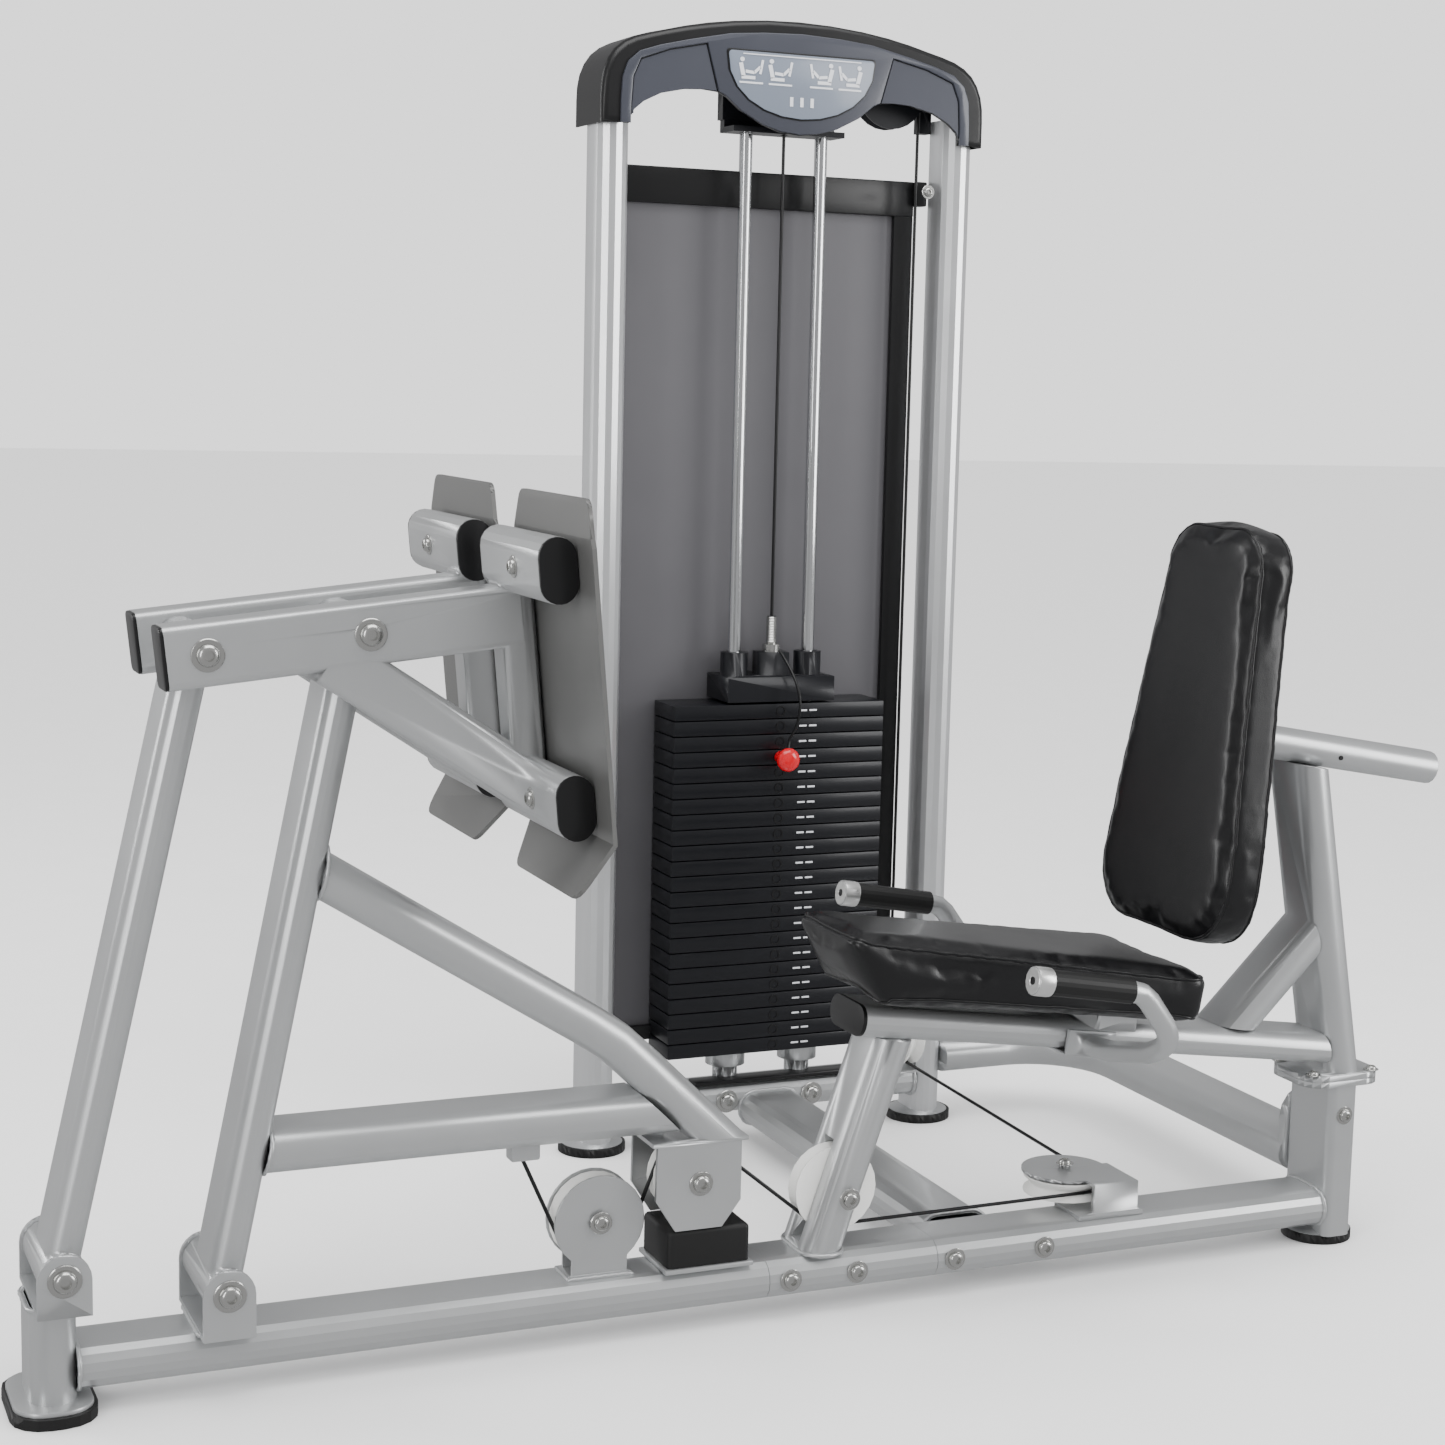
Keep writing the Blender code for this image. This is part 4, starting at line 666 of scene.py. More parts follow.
class LEGPRESS_OT_finishes(bpy.types.Operator):
    """Gives every frame part its paint, plating, rubber or nylon"""

    bl_idname = "legpress.finishes"
    bl_label = "Frame finishes"

    def execute(self, context):
        slots = {part["node"]: part["material_slot"] for part in frame["record"]["subparts"]}
        for node, obj in frame["nodes"].items():
            material = NODE_FINISHES[slots[node]]()
            obj.data.materials.clear()
            obj.data.materials.append(material)
            if not obj.hide_render:
                smooth_skin(node, obj, material)
        return {"FINISHED"}


def smooth_skin(node, source, material):
    """A merged copy of a frame part, shaded smooth over its rounded faces, that stands for it."""
    edit = bmesh.new()
    edit.from_mesh(source.data)
    bmesh.ops.remove_doubles(edit, verts=edit.verts, dist=1e-5)
    bmesh.ops.recalc_face_normals(edit, faces=edit.faces)
    if node == "backrest_sleeve":
        round_sleeve_end(edit)
    skin = piece(f"{node}_skin", edit, material, body_of(source)[0])
    even = skin.modifiers.new("even_shading", "WEIGHTED_NORMAL")
    even.keep_sharp = True
    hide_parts(node)


def round_sleeve_end(edit):
    """Rounds the outer edge of the backrest sleeve's open rear end."""
    along = Vector((math.cos(SLEEVE_SLOPE), 0, -math.sin(SLEEVE_SLOPE)))
    rim = []
    for edge in edit.edges:
        middle = (edge.verts[0].co + edge.verts[1].co) / 2 - SLEEVE_ORIGIN
        outward = middle - along * middle.dot(along)
        if middle.dot(along) < 0.1610 or edge.calc_face_angle(0.0) < 1.0:
            continue
        if sum(face.normal.dot(outward) for face in edge.link_faces) > 0:
            rim.append(edge)
    bmesh.ops.bevel(
        edit, geom=rim, offset=0.005, offset_type="OFFSET", segments=3, profile=0.5,
        affect="EDGES", clamp_overlap=True, material=-1,
    )


# ---------------------------------------------------------------- cushions


def swollen(edit, name, voxel, pressure, cap):
    """The form as a stuffed skin: each point swells no further than the cap, then all are smoothed once."""
    mesh = bpy.data.meshes.new(name)
    edit.to_mesh(mesh)
    edit.free()
    source = bpy.data.objects.new(name + "_form", mesh)
    bpy.context.scene.collection.objects.link(source)
    remesh = source.modifiers.new("even", "REMESH")
    remesh.mode = "VOXEL"
    remesh.voxel_size = voxel
    bpy.context.view_layer.update()
    even = bpy.data.meshes.new_from_object(source.evaluated_get(bpy.context.evaluated_depsgraph_get()))
    bpy.data.objects.remove(source, do_unlink=True)
    skin = bpy.data.objects.new(name + "_skin", even)
    bpy.context.scene.collection.objects.link(skin)
    rest = [vert.co.copy() for vert in even.vertices]
    cloth = skin.modifiers.new("stuffing", "CLOTH")
    cloth.settings.quality = 6
    cloth.settings.use_pressure = True
    cloth.settings.uniform_pressure_force = pressure
    cloth.settings.tension_stiffness = 25.0
    cloth.settings.compression_stiffness = 25.0
    cloth.settings.bending_stiffness = 1.5
    cloth.settings.effector_weights.gravity = 0.0
    cloth.point_cache.frame_end = 20
    for step in range(1, 21):
        bpy.context.scene.frame_set(step)
    moved = bpy.data.meshes.new_from_object(skin.evaluated_get(bpy.context.evaluated_depsgraph_get()))
    for vert, start, end in zip(even.vertices, rest, moved.vertices):
        shift = end.co - start
        vert.co = start + shift * min(1.0, cap / max(shift.length, 1e-9))
    skin.modifiers.clear()
    bpy.data.meshes.remove(moved)
    bpy.context.scene.frame_set(1)
    result = bmesh.new()
    result.from_mesh(even)
    bpy.data.objects.remove(skin, do_unlink=True)
    bmesh.ops.smooth_vert(
        result, verts=result.verts, factor=0.5, use_axis_x=True, use_axis_y=True, use_axis_z=True,
    )
    return result


def add_cushion(name, corners, thickness, matrix, body, node, taper=None):
    """An upholstered pad: a swollen body with a piped seam round its front and back edges."""
    sizes = bpy.context.scene.leg_press_sizes
    inset = 0.002
    edit = slab(corners, thickness - 2 * inset, Matrix.Translation((0, 0, inset)), 0.0)
    rims = {round(v.co.z, 5) for v in edit.verts}
    for level in (min(rims), max(rims)):
        rim = [e for e in edit.edges if all(abs(v.co.z - level) < 1e-4 for v in e.verts)]
        bmesh.ops.bevel(
            edit, geom=rim, offset=0.008, offset_type="OFFSET", segments=4, profile=0.5,
            affect="EDGES", clamp_overlap=True, material=-1,
        )
    ring = outline_face(corners)
    loop = [v.co.copy() for v in next(iter(ring.faces)).verts]
    ring.free()
    near, far = ([Vector((p.x, p.y, level)) for p in loop] for level in (thickness - SEAM_DEPTH, SEAM_DEPTH))
    if taper:
        taper(edit.verts)
        near, far = ([taper_point(taper, point) for point in rim] for rim in (near, far))
    bmesh.ops.triangulate(edit, faces=edit.faces)
    bmesh.ops.transform(edit, matrix=matrix, verts=edit.verts)
    skin = swollen(edit, name, 0.005, 4.0, sizes.swell)
    fit_to(skin, *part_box(node))
    tree = BVHTree.FromBMesh(skin)
    pad = piece(name, skin, vinyl(), body, 3.0)
    level = pad.modifiers.new("soft", "SUBSURF")
    level.levels = level.render_levels = 1
    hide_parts(node)
    for label, rim in (("front", near), ("back", far)):
        points = [tree.find_nearest(matrix @ p)[0] for p in spaced(rim, 0.006, closed=True)]
        seam = tube_along(points, sizes.piping, closed=True, sides=8)
        piece(f"{name}_{label}_piping", seam, vinyl(), body, 3.0)
    return pad


def fit_to(edit, low, high):
    """Scales a form along each axis so that it fills the box."""
    for axis in range(3):
        places = [vert.co[axis] for vert in edit.verts]
        bottom, top = min(places), max(places)
        for vert in edit.verts:
            vert.co[axis] = low[axis] + (vert.co[axis] - bottom) * (high[axis] - low[axis]) / (top - bottom)


def taper_point(taper, point):
    edit = bmesh.new()
    edit.verts.new(point)
    taper(edit.verts)
    result = next(iter(edit.verts)).co.copy()
    edit.free()
    return result


def add_backrest_pad():
    lean = math.radians(7.9)
    up = Vector((math.sin(lean), 0, math.cos(lean)))
    back = Y.cross(up)
    corners = [
        (0.158, 0.002, 0.085), (0.150, 0.15, 0.0), (0.104, 0.532, 0.055),
        (-0.104, 0.532, 0.055), (-0.150, 0.15, 0.0), (-0.158, 0.002, 0.085),
    ]
    matrix = Matrix((-Y, up, -back)).transposed().to_4x4()
    matrix.translation = Vector((1.3935, 0, 0.447)) + back * 0.058
    add_cushion("backrest_cushion", corners, 0.058, matrix, "backrest", "backrest_pad")


def add_seat_cushion():
    """Local X is across the seat, local Y runs from its nose to its rear and local Z points up."""
    slope = math.atan2(0.409 - 0.487, 1.405 - 0.927)
    along = Vector((math.cos(slope), 0, math.sin(slope)))
    up = Vector((-math.sin(slope), 0, math.cos(slope)))
    length = 0.482
    thick = 0.058
    corners = [
        (0.0855, 0.002, 0.020), (0.130, length - 0.002, 0.022),
        (-0.130, length - 0.002, 0.022), (-0.0855, 0.002, 0.020),
    ]
    matrix = Matrix((Y * -1, along, up)).transposed().to_4x4()
    matrix.translation = Vector((0.927, 0, 0.487)) - up * thick

    def wedge(verts):
        for vert in verts:
            share = 1 - vert.co.y / length
            depth = (thick - vert.co.z) / thick
            vert.co.z -= depth * 0.022 * max(0.0, share)
            nose = max(0.0, 1 - vert.co.y / 0.09)
            vert.co.y += depth * 0.060 * nose

    add_cushion("seat_cushion", corners, thick, matrix, "frame", "seat_pad", wedge)


class LEGPRESS_OT_cushions(bpy.types.Operator):
    """Adds the upholstered seat and back cushions with their piping"""

    bl_idname = "legpress.cushions"
    bl_label = "Cushions"

    def execute(self, context):
        add_backrest_pad()
        add_seat_cushion()
        return {"FINISHED"}


# ---------------------------------------------------------------- top cover


def front_matrix(front, x=TOWER_X, z=0.0):
    """Local X is across the tower, local Y is up and local Z points out of its front."""
    return Matrix(((1, 0, 0, x), (0, 0, -1, front), (0, 1, 0, z), (0, 0, 0, 1)))


def mirrored(corners):
    return [(-x, y, r) for x, y, r in reversed(corners)]


COVER_FACE = [
    (0.0, 1.6290), (0.060, 1.6265), (0.110, 1.6220), (0.170, 1.6095), (0.215, 1.5985), (0.245, 1.5885),
    (0.262, 1.5735), (0.270, 1.5520), (0.272, 1.5200), (0.272, 1.4895), (0.257, 1.4895), (0.257, 1.5150),
    (0.2545, 1.5530), (0.2435, 1.5780), (0.200, 1.5940), (0.1445, 1.6060), (0.126, 1.5410), (0.116, 1.5365),
    (0.092, 1.5170), (0.058, 1.4995), (0.030, 1.4915), (0.0, 1.4885),
]
COVER_INSET = [
    (0.1460, 1.6040), (0.200, 1.5925), (0.2425, 1.5765), (0.2530, 1.5525), (0.2555, 1.5150), (0.2555, 1.5000),
    (0.252, 1.5080), (0.238, 1.5200), (0.212, 1.5330), (0.176, 1.5410), (0.150, 1.5425), (0.1285, 1.5415),
]


def sharp(points):
    return [(x, z, 0.0) for x, z in points]


def pictogram(centre_x, centre_z, flip):
    """A small seated figure made of a seat, a body and two legs."""
    edit = bmesh.new()
    bars = (
        ((-0.010, -0.008), (0.004, -0.008), 0.0016), ((-0.008, -0.007), (-0.011, 0.006), 0.0020),
        ((-0.006, -0.002), (0.003, -0.003), 0.0015), ((0.003, -0.003), (0.009, 0.003), 0.0014),
        ((0.009, -0.004), (0.0115, 0.010), 0.0012), ((-0.012, -0.013), (0.012, -0.013), 0.0009),
    )
    for (x0, z0), (x1, z1), half in bars:
        start, end = Vector((x0 * flip, z0, 0)), Vector((x1 * flip, z1, 0))
        matrix = place_matrix((start + end) / 2, Z, end - start)
        reach = (end - start).length / 2
        merge(edit, block((-0.0004, -half, -reach), (0.0004, half, reach), 0.0, 1, matrix))
    disc = [(0.0, 0.0004), (0.0023, 0.0004), (0.0023, -0.0004), (0.0, -0.0004)]
    merge(edit, spun(disc, Matrix.Translation((-0.0095 * flip, 0.0095, 0)), 12))
    scale = Matrix.Diagonal((1.5, 1.4, 1.0, 1.0))
    matrix = front_matrix(SHROUD_FRONT - 0.0070, TOWER_X + centre_x, centre_z) @ scale
    bmesh.ops.transform(edit, matrix=matrix, verts=edit.verts)
    return edit


class LEGPRESS_OT_cover(bpy.types.Operator):
    """Adds the top cover's inset panels, its placard and the generic figures on it"""

    bl_idname = "legpress.cover"
    bl_label = "Top cover"

    def execute(self, context):
        face = front_matrix(SHROUD_FRONT - 0.0002)
        outline = sharp(COVER_FACE + [(-x, z) for x, z in reversed(COVER_FACE[1:-1])])
        piece("cover_face", slab(outline, 0.0040, face, 0.0014, 2), cover_panel(), "frame")
        for label, corners in (("right", sharp(COVER_INSET)), ("left", mirrored(sharp(COVER_INSET)))):
            edit = slab(corners, 0.0012, face, 0.0004, 1)
            piece(f"cover_panel_{label}", edit, cover_panel(), "frame")
        rim = self.dish(0.117, 1.6015, 0.094, 0.0012, SHROUD_FRONT - 0.0042)
        piece("placard_rim", rim, black_plastic(), "frame")
        plate = self.dish(0.114, 1.5990, 0.089, 0.0012, SHROUD_FRONT - 0.0055)
        piece("placard", plate, placard_blue(), "frame")
        marks = bmesh.new()
        for x, flip in ((-0.079, 1), (-0.034, 1), (0.030, -1), (0.075, -1)):
            merge(marks, pictogram(x, 1.574, flip))
        print_front = Matrix.Translation((TOWER_X, SHROUD_FRONT - 0.0070, 0))
        for x in (-0.016, 0.0, 0.016):
            merge(marks, block((x - 0.0025, -0.0004, 1.527), (x + 0.0025, 0.0004, 1.540), 0.0, 1, print_front))
        merge(marks, block((-0.092, -0.0004, 1.5945), (0.092, 0.0004, 1.5960), 0.0, 1, print_front))
        piece("placard_figures", marks, pale_print(), "frame")
        return {"FINISHED"}

    def dish(self, half, top, drop, thickness, front):
        """A half-round plate: flat along its top and bowed below."""
        corners = [(half, top, 0.006)]
        for step in range(1, 12):
            angle = math.pi * step / 12
            corners.append((half * math.cos(angle), top - drop * math.sin(angle) ** 0.85, 0.0))
        corners.append((-half, top, 0.006))
        return slab(corners, thickness, front_matrix(front + 0.0001), thickness * 0.45, 2)


# ---------------------------------------------------------------- weight stack


def plate_pile(first, count):
    """Separate rounded plates with a thin gap between each two."""
    edit = bmesh.new()
    half = 0.1692
    for index in range(first, first + count):
        low = STACK_BOTTOM + index * PITCH
        near = (TOWER_X - half, STACK_FRONT + 0.0002, low + 0.0006)
        far = (TOWER_X + half, STACK_FRONT + 0.0825, low + PITCH - 0.0006)
        merge(edit, block(near, far, 0.0016, 2))
    return edit


def plate_marks(first, count):
    """A pin hole ring and two pale marks on the front of each plate."""
    marks, holes = bmesh.new(), bmesh.new()
    for index in range(first, first + count):
        z = STACK_BOTTOM + (index + 0.5) * PITCH
        for x in (0.036, 0.052):
            low = (TOWER_X + x - 0.006, STACK_FRONT - 0.0006, z - 0.0013)
            high = (TOWER_X + x + 0.006, STACK_FRONT + 0.0004, z + 0.0013)
            merge(marks, block(low, high, 0.0003, 1))
        matrix = place_matrix(Vector((TOWER_X, STACK_FRONT, z)), X, -Y)
        ring = [(0.0056, 0.0006), (0.0076, 0.0006), (0.0078, -0.001), (0.0056, -0.001), (0.0056, 0.0006)]
        merge(holes, spun(ring, matrix, 20))
    return marks, holes


class LEGPRESS_OT_weights(bpy.types.Operator):
    """Adds the separate weight plates with their marks, the selector pin and the cable's end"""

    bl_idname = "legpress.weights"
    bl_label = "Weight stack"

    def execute(self, context):
        for label, first, count, body in (
            ("resting", 0, RESTING_PLATES, "frame"), ("lifted", RESTING_PLATES, LIFTED_PLATES, "stack"),
        ):
            pile = piece(f"stack_plates_{label}", plate_pile(first, count), black_paint(), body)
            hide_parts(f"weight_plates_{label}")
            marks, holes = plate_marks(first, count)
            piece(f"stack_marks_{label}", marks, pale_print(), body)
            piece(f"stack_pin_holes_{label}", holes, black_plastic(), body)
        self.add_pin()
        top = Vector((TOWER_X, TOWER_Y, 0.739))
        thread = [(0.0, 0.053)]
        for turn in range(16):
            thread += [(0.0074, 0.052 - turn * 0.0024), (0.0082, 0.0508 - turn * 0.0024)]
        thread += [(0.0076, 0.012), (0.013, 0.011), (0.013, 0.0), (0.0, 0.0)]
        piece("cable_end_bolt", spun(thread, Matrix.Translation(top), 24), zinc(), "stack")
        return {"FINISHED"}

    def add_pin(self):
        matrix = place_matrix(Vector((TOWER_X, STACK_FRONT, PIN_Z)), X, -Y)
        knob = [
            (0.0, 0.0415), (0.007, 0.0412), (0.0125, 0.0395), (0.0163, 0.0362), (0.0178, 0.0315), (0.0172, 0.027),
            (0.0142, 0.0235), (0.0105, 0.0222), (0.0095, 0.019), (0.0095, 0.002), (0.0, 0.002),
        ]
        obj = piece("selector_knob", spun(knob, matrix, 40), knob_red(), "selector_pin", 1.0)
        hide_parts("selector_pin")
        shaft = [(0.0, 0.004), (0.0050, 0.004), (0.0050, -0.054), (0.0035, -0.0585), (0.0, -0.0585)]
        piece("selector_shaft", spun(shaft, matrix, 24), chrome(), "selector_pin")


# ---------------------------------------------------------------- bolts and washers


def button_bolt(place, axis, radius, washer=1.45):
    """A domed bolt head with a round recess, on a washer; returns the head and the washer."""
    across = X if abs(axis.normalized().x) < 0.9 else Y
    matrix = place_matrix(place, across, axis)
    height = radius * 0.62
    profile = [
        (0.0, height * 0.35), (radius * 0.42, height * 0.35), (radius * 0.46, height),
        (radius * 0.70, height * 0.93),
        (radius * 0.90, height * 0.66), (radius, height * 0.30), (radius, 0.0), (0.0, 0.0),
    ]
    head = spun(profile, matrix @ Matrix.Translation((0, 0, radius * 0.16)), 30)
    ring = spun([
        (0.0, radius * 0.16), (radius * washer * 0.95, radius * 0.16), (radius * washer, radius * 0.10),
        (radius * washer, 0.0002), (0.0, 0.0002),
    ], matrix, 30)
    return head, ring


def bolt_set(name, places, body, replaced=()):
    heads, rings = bmesh.new(), bmesh.new()
    for place, axis, radius in places:
        head, ring = button_bolt(Vector(place), Vector(axis), radius)
        merge(heads, head)
        merge(rings, ring)
    obj = piece(f"{name}_heads", heads, zinc(), body)
    piece(f"{name}_washers", rings, zinc(), body)
    if replaced:
        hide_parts(*replaced)


class LEGPRESS_OT_bolts(bpy.types.Operator):
    """Adds the socket bolts and washers of the pivots, pulleys, rail and flanges"""

    bl_idname = "legpress.bolts"
    bl_label = "Bolts"

    def execute(self, context):
        big = context.scene.leg_press_sizes.bolt_head
        arm, cheek = [], []
        for _, side in SIDES:
            for pivot in (PIVOT_A_TOP, PIVOT_B_TOP):
                arm.append((pivot + Y * side * ARM_OUTER_Y, Y * side, big * 0.92))
            for height in BAR_HEIGHTS:
                place = PLATE_LOW + PLATE_UP * height + PLATE_BACK * 0.0435 + Y * side * 0.165
                arm.append((place, PLATE_BACK, 0.0085))
            for pivot in (PIVOT_A, PIVOT_B):
                cheek.append((pivot + Y * side * CHEEK_OUTER_Y, Y * side, big * 0.95))
        bolt_set("arm_bolts", arm, "carriage", ("front_arm_bolt", "rear_arm_bolt"))
        bolt_set("clevis_bolts", cheek, "frame", ("front_pivot_bolt", "rail_pivot_bolt"))
        rail = [((x, -0.0490, 0.0505), (0, -1, 0), 0.0098) for x in (0.872, 0.962, 1.098, 1.227)]
        rail += [((x, 0.0490, 0.0505), (0, 1, 0), 0.0098) for x in (0.872, 0.962)]
        bolt_set("rail_bolts", rail, "frame")
        swing = [((P2.x, side * 0.045, P2.z), (0, side, 0), 0.0105) for _, side in SIDES]
        bolt_set("swing_pulley_bolts", swing, "press_swing")
        other = [((P1.x, side * 0.0222, P1.z), (0, side, 0), 0.0095) for _, side in SIDES]
        other += [((P3.x - 0.001, side * 0.0552, P3.z), (0, side, 0), 0.0095) for _, side in SIDES]
        other += [((P4.x, P4.y, 0.1236), (0, 0, 1), 0.0080)]
        other += [((1.6825, -0.0501, 0.181), (0, -1, 0), 0.0085)]
        other += [((1.6825 + x, y, 0.2384), (0, 0, 1), 0.0070) for x in (-0.047, 0.047) for y in (-0.040, 0.040)]
        other += [((x, TOWER_Y - 0.0377, 0.064), (0, -1, 0), 0.0120) for x in (1.077, 1.216)]
        other += [((1.3646, TOWER_Y - 0.0377, 1.421), (0, -1, 0), 0.0070)]
        bolt_set("frame_bolts", other, "frame")
        return {"FINISHED"}


# ---------------------------------------------------------------- end caps, feet, bumper and trim


class LEGPRESS_OT_end_caps(bpy.types.Operator):
    """Adds the black plugs in the arms' and crossbars' ends and the caps of the round tubes"""

    bl_idname = "legpress.end_caps"
    bl_label = "End caps"

    def execute(self, context):
        edit = bmesh.new()
        along = (PIVOT_B_TOP - PIVOT_A_TOP).normalized()
        for _, side in SIDES:
            front = PIVOT_A_TOP - along * 0.0432 + Y * side * (ARM_INNER_Y + 0.025)
            matrix = place_matrix(front, Y, -along)
            quarters = ((1, 1), (-1, 1), (-1, -1), (1, -1))
            corners = [(sx * 0.0245, sz * 0.034, 0.008) for sx, sz in quarters]
            merge(edit, slab(corners, 0.004, matrix, 0.0018))
            for height in BAR_HEIGHTS:
                centre = PLATE_LOW + PLATE_BACK * 0.022 + PLATE_UP * height
                for reach, way in ((0.2502, side), (0.0478, -side)):
                    matrix = place_matrix(centre + Y * side * reach, PLATE_UP, Y * way)
                    merge(edit, slab(oval_corners(0.071, 0.042), 0.004, matrix, 0.0018))
        piece("arm_and_bar_caps", edit, black_plastic(), "carriage")
        self.add_frame_caps()
        return {"FINISHED"}

    def add_frame_caps(self):
        along = Vector((math.cos(SLEEVE_SLOPE), 0, -math.sin(SLEEVE_SLOPE)))
        up = along.cross(Y)
        # A thin black disc stands for the dark inside the sleeve's screw hole: painted shade, not a part.
        hole = place_matrix(SLEEVE_ORIGIN - Y * 0.0300 - up * 0.005, X, -Y)
        edit = spun([(0.0, 0.0006), (0.0030, 0.0006), (0.0034, -0.0010), (0.0, -0.0010)], hole, 20)
        piece("sleeve_hole_painted_shade", edit, black_plastic(), "frame")
        caps = bmesh.new()
        slope = Vector((1.700 - 0.965, 0, 0.266 - 0.365)).normalized()
        matrix = place_matrix(Vector((0.965, 0, 0.365)), Y, -slope)
        merge(caps, slab(oval_corners(0.0975, 0.0395), 0.005, matrix, 0.0024, 3))
        piece("seat_rail_cap", caps, black_plastic(), "frame")
        grips, holes = bmesh.new(), bmesh.new()
        way = Vector((-math.cos(math.radians(9.5)), 0, math.sin(math.radians(9.5))))
        for _, side in SIDES:
            start = Vector((1.204, side * 0.265, 0.4388)) + way * 0.1125
            profile = [
                (0.0, 0.0220), (0.0062, 0.0220), (0.0068, 0.0226), (0.0150, 0.0226), (0.0170, 0.0208),
                (0.0173, 0.0190),
                (0.0173, 0.0030), (0.0169, 0.0018), (0.0169, 0.0002), (0.0, 0.0002),
            ]
            matrix = place_matrix(start, Y, way)
            merge(grips, spun(profile, matrix, 36))
            # A black disc on each grip cap stands for the dark inside its hole: painted shade, not a part.
            merge(holes, spun([(0.0, 0.0228), (0.0048, 0.0228), (0.0048, 0.0212), (0.0, 0.0212)], matrix, 20))
        piece("grip_end_caps", grips, aluminium(), "frame", 0.5)
        piece("grip_end_holes_painted_shade", holes, black_plastic(), "frame")


class LEGPRESS_OT_feet(bpy.types.Operator):
    """Adds the steel discs over the rubber feet and the rubber bumper on its plate"""

    bl_idname = "legpress.feet"
    bl_label = "Feet and bumper"

    def execute(self, context):
        discs = bmesh.new()
        for x, y in ((1.6825, 0.0), (TOWER_X - TOWER_HALF, TOWER_Y), (TOWER_X + TOWER_HALF, TOWER_Y)):
            merge(discs, spun(
                [
                    (0.0, 0.0185), (0.030, 0.0180), (0.041, 0.0150), (0.0455, 0.0128), (0.0455, 0.0122), (0.0, 0.0122),
                ],
                Matrix.Translation((x, y, 0)), 40,
            ))
        front = [(0.068, 0.043, 0.036), (-0.068, 0.043, 0.036), (-0.068, -0.043, 0.036), (0.068, -0.043, 0.036)]
        merge(discs, slab(front, 0.005, place_matrix(Vector((0, 0, 0.0122)), Y, Z), 0.0024))
        piece("foot_discs", discs, silver_paint(), "frame")
        low = RAIL_TOP + 0.0003
        rubber = slab(
            [(0.053, 0.044, 0.006), (-0.053, 0.044, 0.006), (-0.053, -0.044, 0.006), (0.053, -0.044, 0.006)],
            0.0462, place_matrix(Vector((0.765, 0, low + 0.0065)), X, Z), 0.007, 3,
        )
        bumper = piece("bumper_block", rubber, black_rubber(), "frame")
        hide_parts("swing_bumper")
        plate = block((0.708, -0.047, low), (0.822, 0.047, low + 0.006), 0.0015)
        piece("bumper_steel_plate", plate, silver_paint(), "frame")
        return {"FINISHED"}


class LEGPRESS_OT_rear_trim(bpy.types.Operator):
    """Adds the black bars and bracket that frame the tower's rear panel"""

    bl_idname = "legpress.rear_trim"
    bl_label = "Rear panel trim"

    def execute(self, context):
        edit = block((0.903, 0.7265, 1.388), (1.3765, 0.7376, 1.440), 0.002)
        merge(edit, block((1.345, 0.7275, 0.170), (1.3765, 0.7376, 1.389), 0.002))
        merge(edit, block((0.902, 0.7275, 0.150), (1.3765, 0.7376, 0.172), 0.002))
        merge(edit, block((1.376, 0.715, 1.404), (1.3925, 0.7376, 1.440), 0.002))
        merge(edit, block((1.025, 0.6860, 0.0905), (1.279, 0.6560, 0.0965), 0.0015))
        piece("rear_panel_trim", edit, black_plastic(), "frame")
        return {"FINISHED"}


# ---------------------------------------------------------------- weld beads


def stadium_ring(wide, thick, matrix):
    edit = outline_face(oval_corners(wide, thick), matrix)
    loop = [v.co.copy() for v in next(iter(edit.faces)).verts]
    edit.free()
    return loop


def bead(points, radius, closed=True):
    """A rippled weld bead along the points."""
    path = spaced(points, 0.0035, closed)
    edit = tube_along(path, radius, closed, 8)
    for vert in edit.verts:
        wave = math.sin((vert.co.x + 1.7 * vert.co.y + 1.3 * vert.co.z) * 1300.0)
        nearest = min(path, key=lambda p: (p - vert.co).length_squared)
        vert.co += (vert.co - nearest) * 0.16 * wave
    return edit


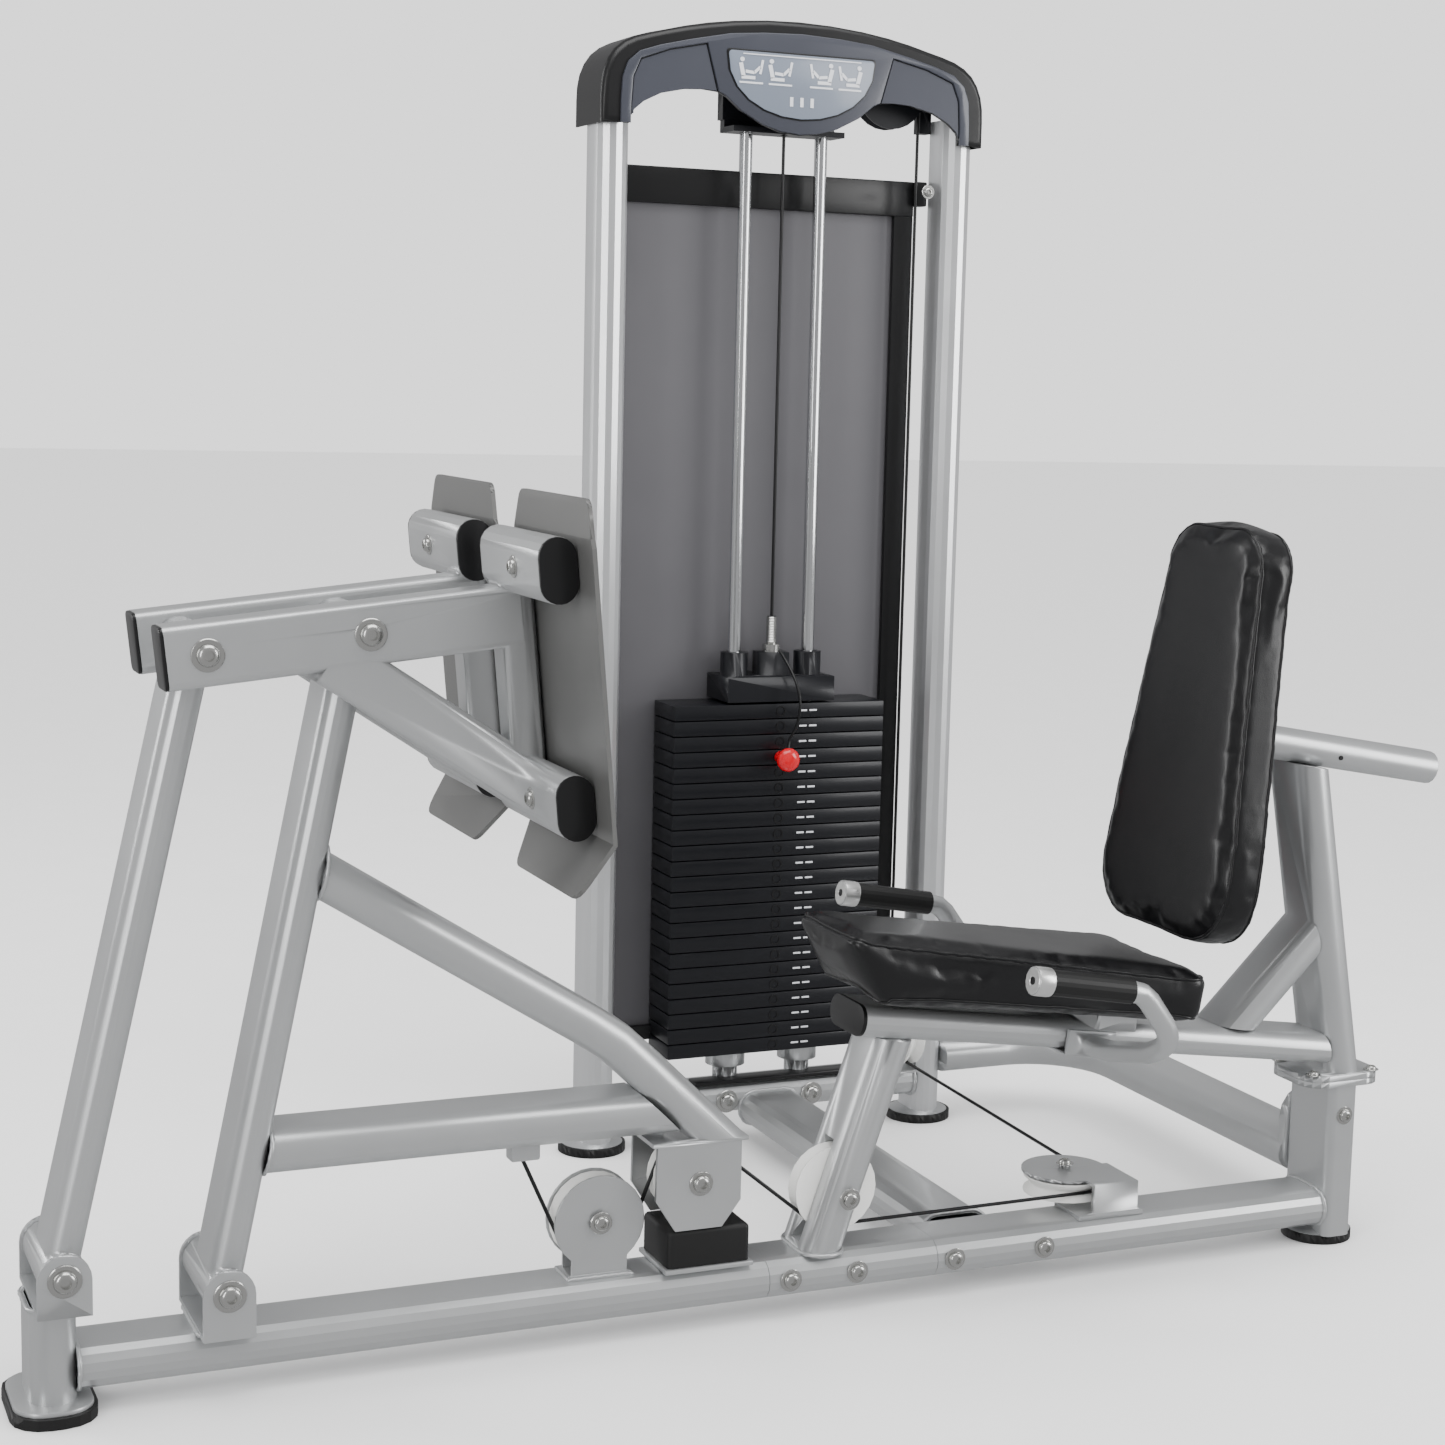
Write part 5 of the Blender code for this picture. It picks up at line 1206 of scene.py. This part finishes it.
class LEGPRESS_OT_welds(bpy.types.Operator):
    """Adds the weld beads where the frame tubes meet"""

    bl_idname = "legpress.welds"
    bl_label = "Weld beads"

    def execute(self, context):
        radius = context.scene.leg_press_sizes.bead
        fixed, swing = bmesh.new(), bmesh.new()
        flat = Matrix.Translation
        rings = [
            (0.101, 0.0555, place_matrix(Vector((0.9215, 0, RAIL_TOP + 0.001)), Y, Z)),
            (0.101, 0.0535, place_matrix(Vector((0.0, 0, 0.1235)), Y, Z)),
            (0.077, 0.0505, place_matrix(Vector((TOWER_X - TOWER_HALF + 0.0248, TOWER_Y, 0.066)), Y, X)),
            (0.077, 0.0505, place_matrix(Vector((TOWER_X + TOWER_HALF - 0.0248, TOWER_Y, 0.066)), Y, X)),
            (0.099, 0.0515, place_matrix(Vector((TOWER_X, 0.0496, 0.050)), X, Y)),
            (0.099, 0.0515, place_matrix(Vector((TOWER_X, TOWER_Y - 0.038, 0.050)), X, Y)),
            (0.099, 0.0515, place_matrix(Vector((0.0262, 0, 0.050)), Y, X)),
            (0.099, 0.0515, place_matrix(Vector((1.6598, 0, 0.050)), Y, X)),
        ]
        for wide, thick, matrix in rings:
            merge(fixed, bead(stadium_ring(wide, thick, matrix), radius))
        for x, half_x, half_y in ((PIVOT_B.x, 0.0295, 0.048), (P1.x, 0.040, 0.0235)):
            quarters = ((1, 1), (1, -1), (-1, -1), (-1, 1))
            foot = [Vector((x + sx * half_x, sy * half_y, RAIL_TOP + 0.001)) for sx, sy in quarters]
            merge(fixed, bead(foot, radius))
        piece("frame_welds", fixed, silver_paint(), "frame", 3.0)
        along = (PIVOT_B_TOP - PIVOT_B).normalized()
        normal = Y.cross(along).normalized()
        for height, thick in ((0.1535, 0.0525), (0.4730, 0.062)):
            centre = PIVOT_B + along * height + normal * 0.0205
            merge(swing, bead(stadium_ring(0.0985, thick, place_matrix(centre, Y, normal)), radius))
        piece("swing_welds", swing, silver_paint(), "press_swing", 3.0)
        return {"FINISHED"}


# ---------------------------------------------------------------- panel and registration


class LEGPRESS_PT_panel(bpy.types.Panel):
    """Lists the machine's pieces, sizes and colours"""

    bl_idname = "LEGPRESS_PT_panel"
    bl_label = "Leg press machine"
    bl_space_type = "VIEW_3D"
    bl_region_type = "UI"
    bl_category = "Leg press"

    def draw(self, context):
        for group in (context.scene.leg_press_sizes, context.scene.leg_press_colours):
            for name in group.__annotations__:
                self.layout.prop(group, name)
        for operator in OPERATORS:
            self.layout.operator(operator.bl_idname)


GROUPS = (LegPressSizes, LegPressColours)
OPERATORS = (
    LEGPRESS_OT_stage,
    LEGPRESS_OT_cables,
    LEGPRESS_OT_cushions,
    LEGPRESS_OT_cover,
    LEGPRESS_OT_weights,
    LEGPRESS_OT_bolts,
    LEGPRESS_OT_end_caps,
    LEGPRESS_OT_feet,
    LEGPRESS_OT_rear_trim,
    LEGPRESS_OT_welds,
    LEGPRESS_OT_finishes,
)


def register():
    for cls in (*GROUPS, *OPERATORS, LEGPRESS_PT_panel):
        bpy.utils.register_class(cls)
    bpy.types.Scene.leg_press_sizes = PointerProperty(type=LegPressSizes)
    bpy.types.Scene.leg_press_colours = PointerProperty(type=LegPressColours)


def unregister():
    del bpy.types.Scene.leg_press_colours
    del bpy.types.Scene.leg_press_sizes
    for cls in reversed((*GROUPS, *OPERATORS, LEGPRESS_PT_panel)):
        bpy.utils.unregister_class(cls)


def main():
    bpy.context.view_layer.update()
    register()
    for operator in OPERATORS:
        category, name = operator.bl_idname.split(".")
        getattr(getattr(bpy.ops, category), name)()


if __name__ == "__main__":
    main()
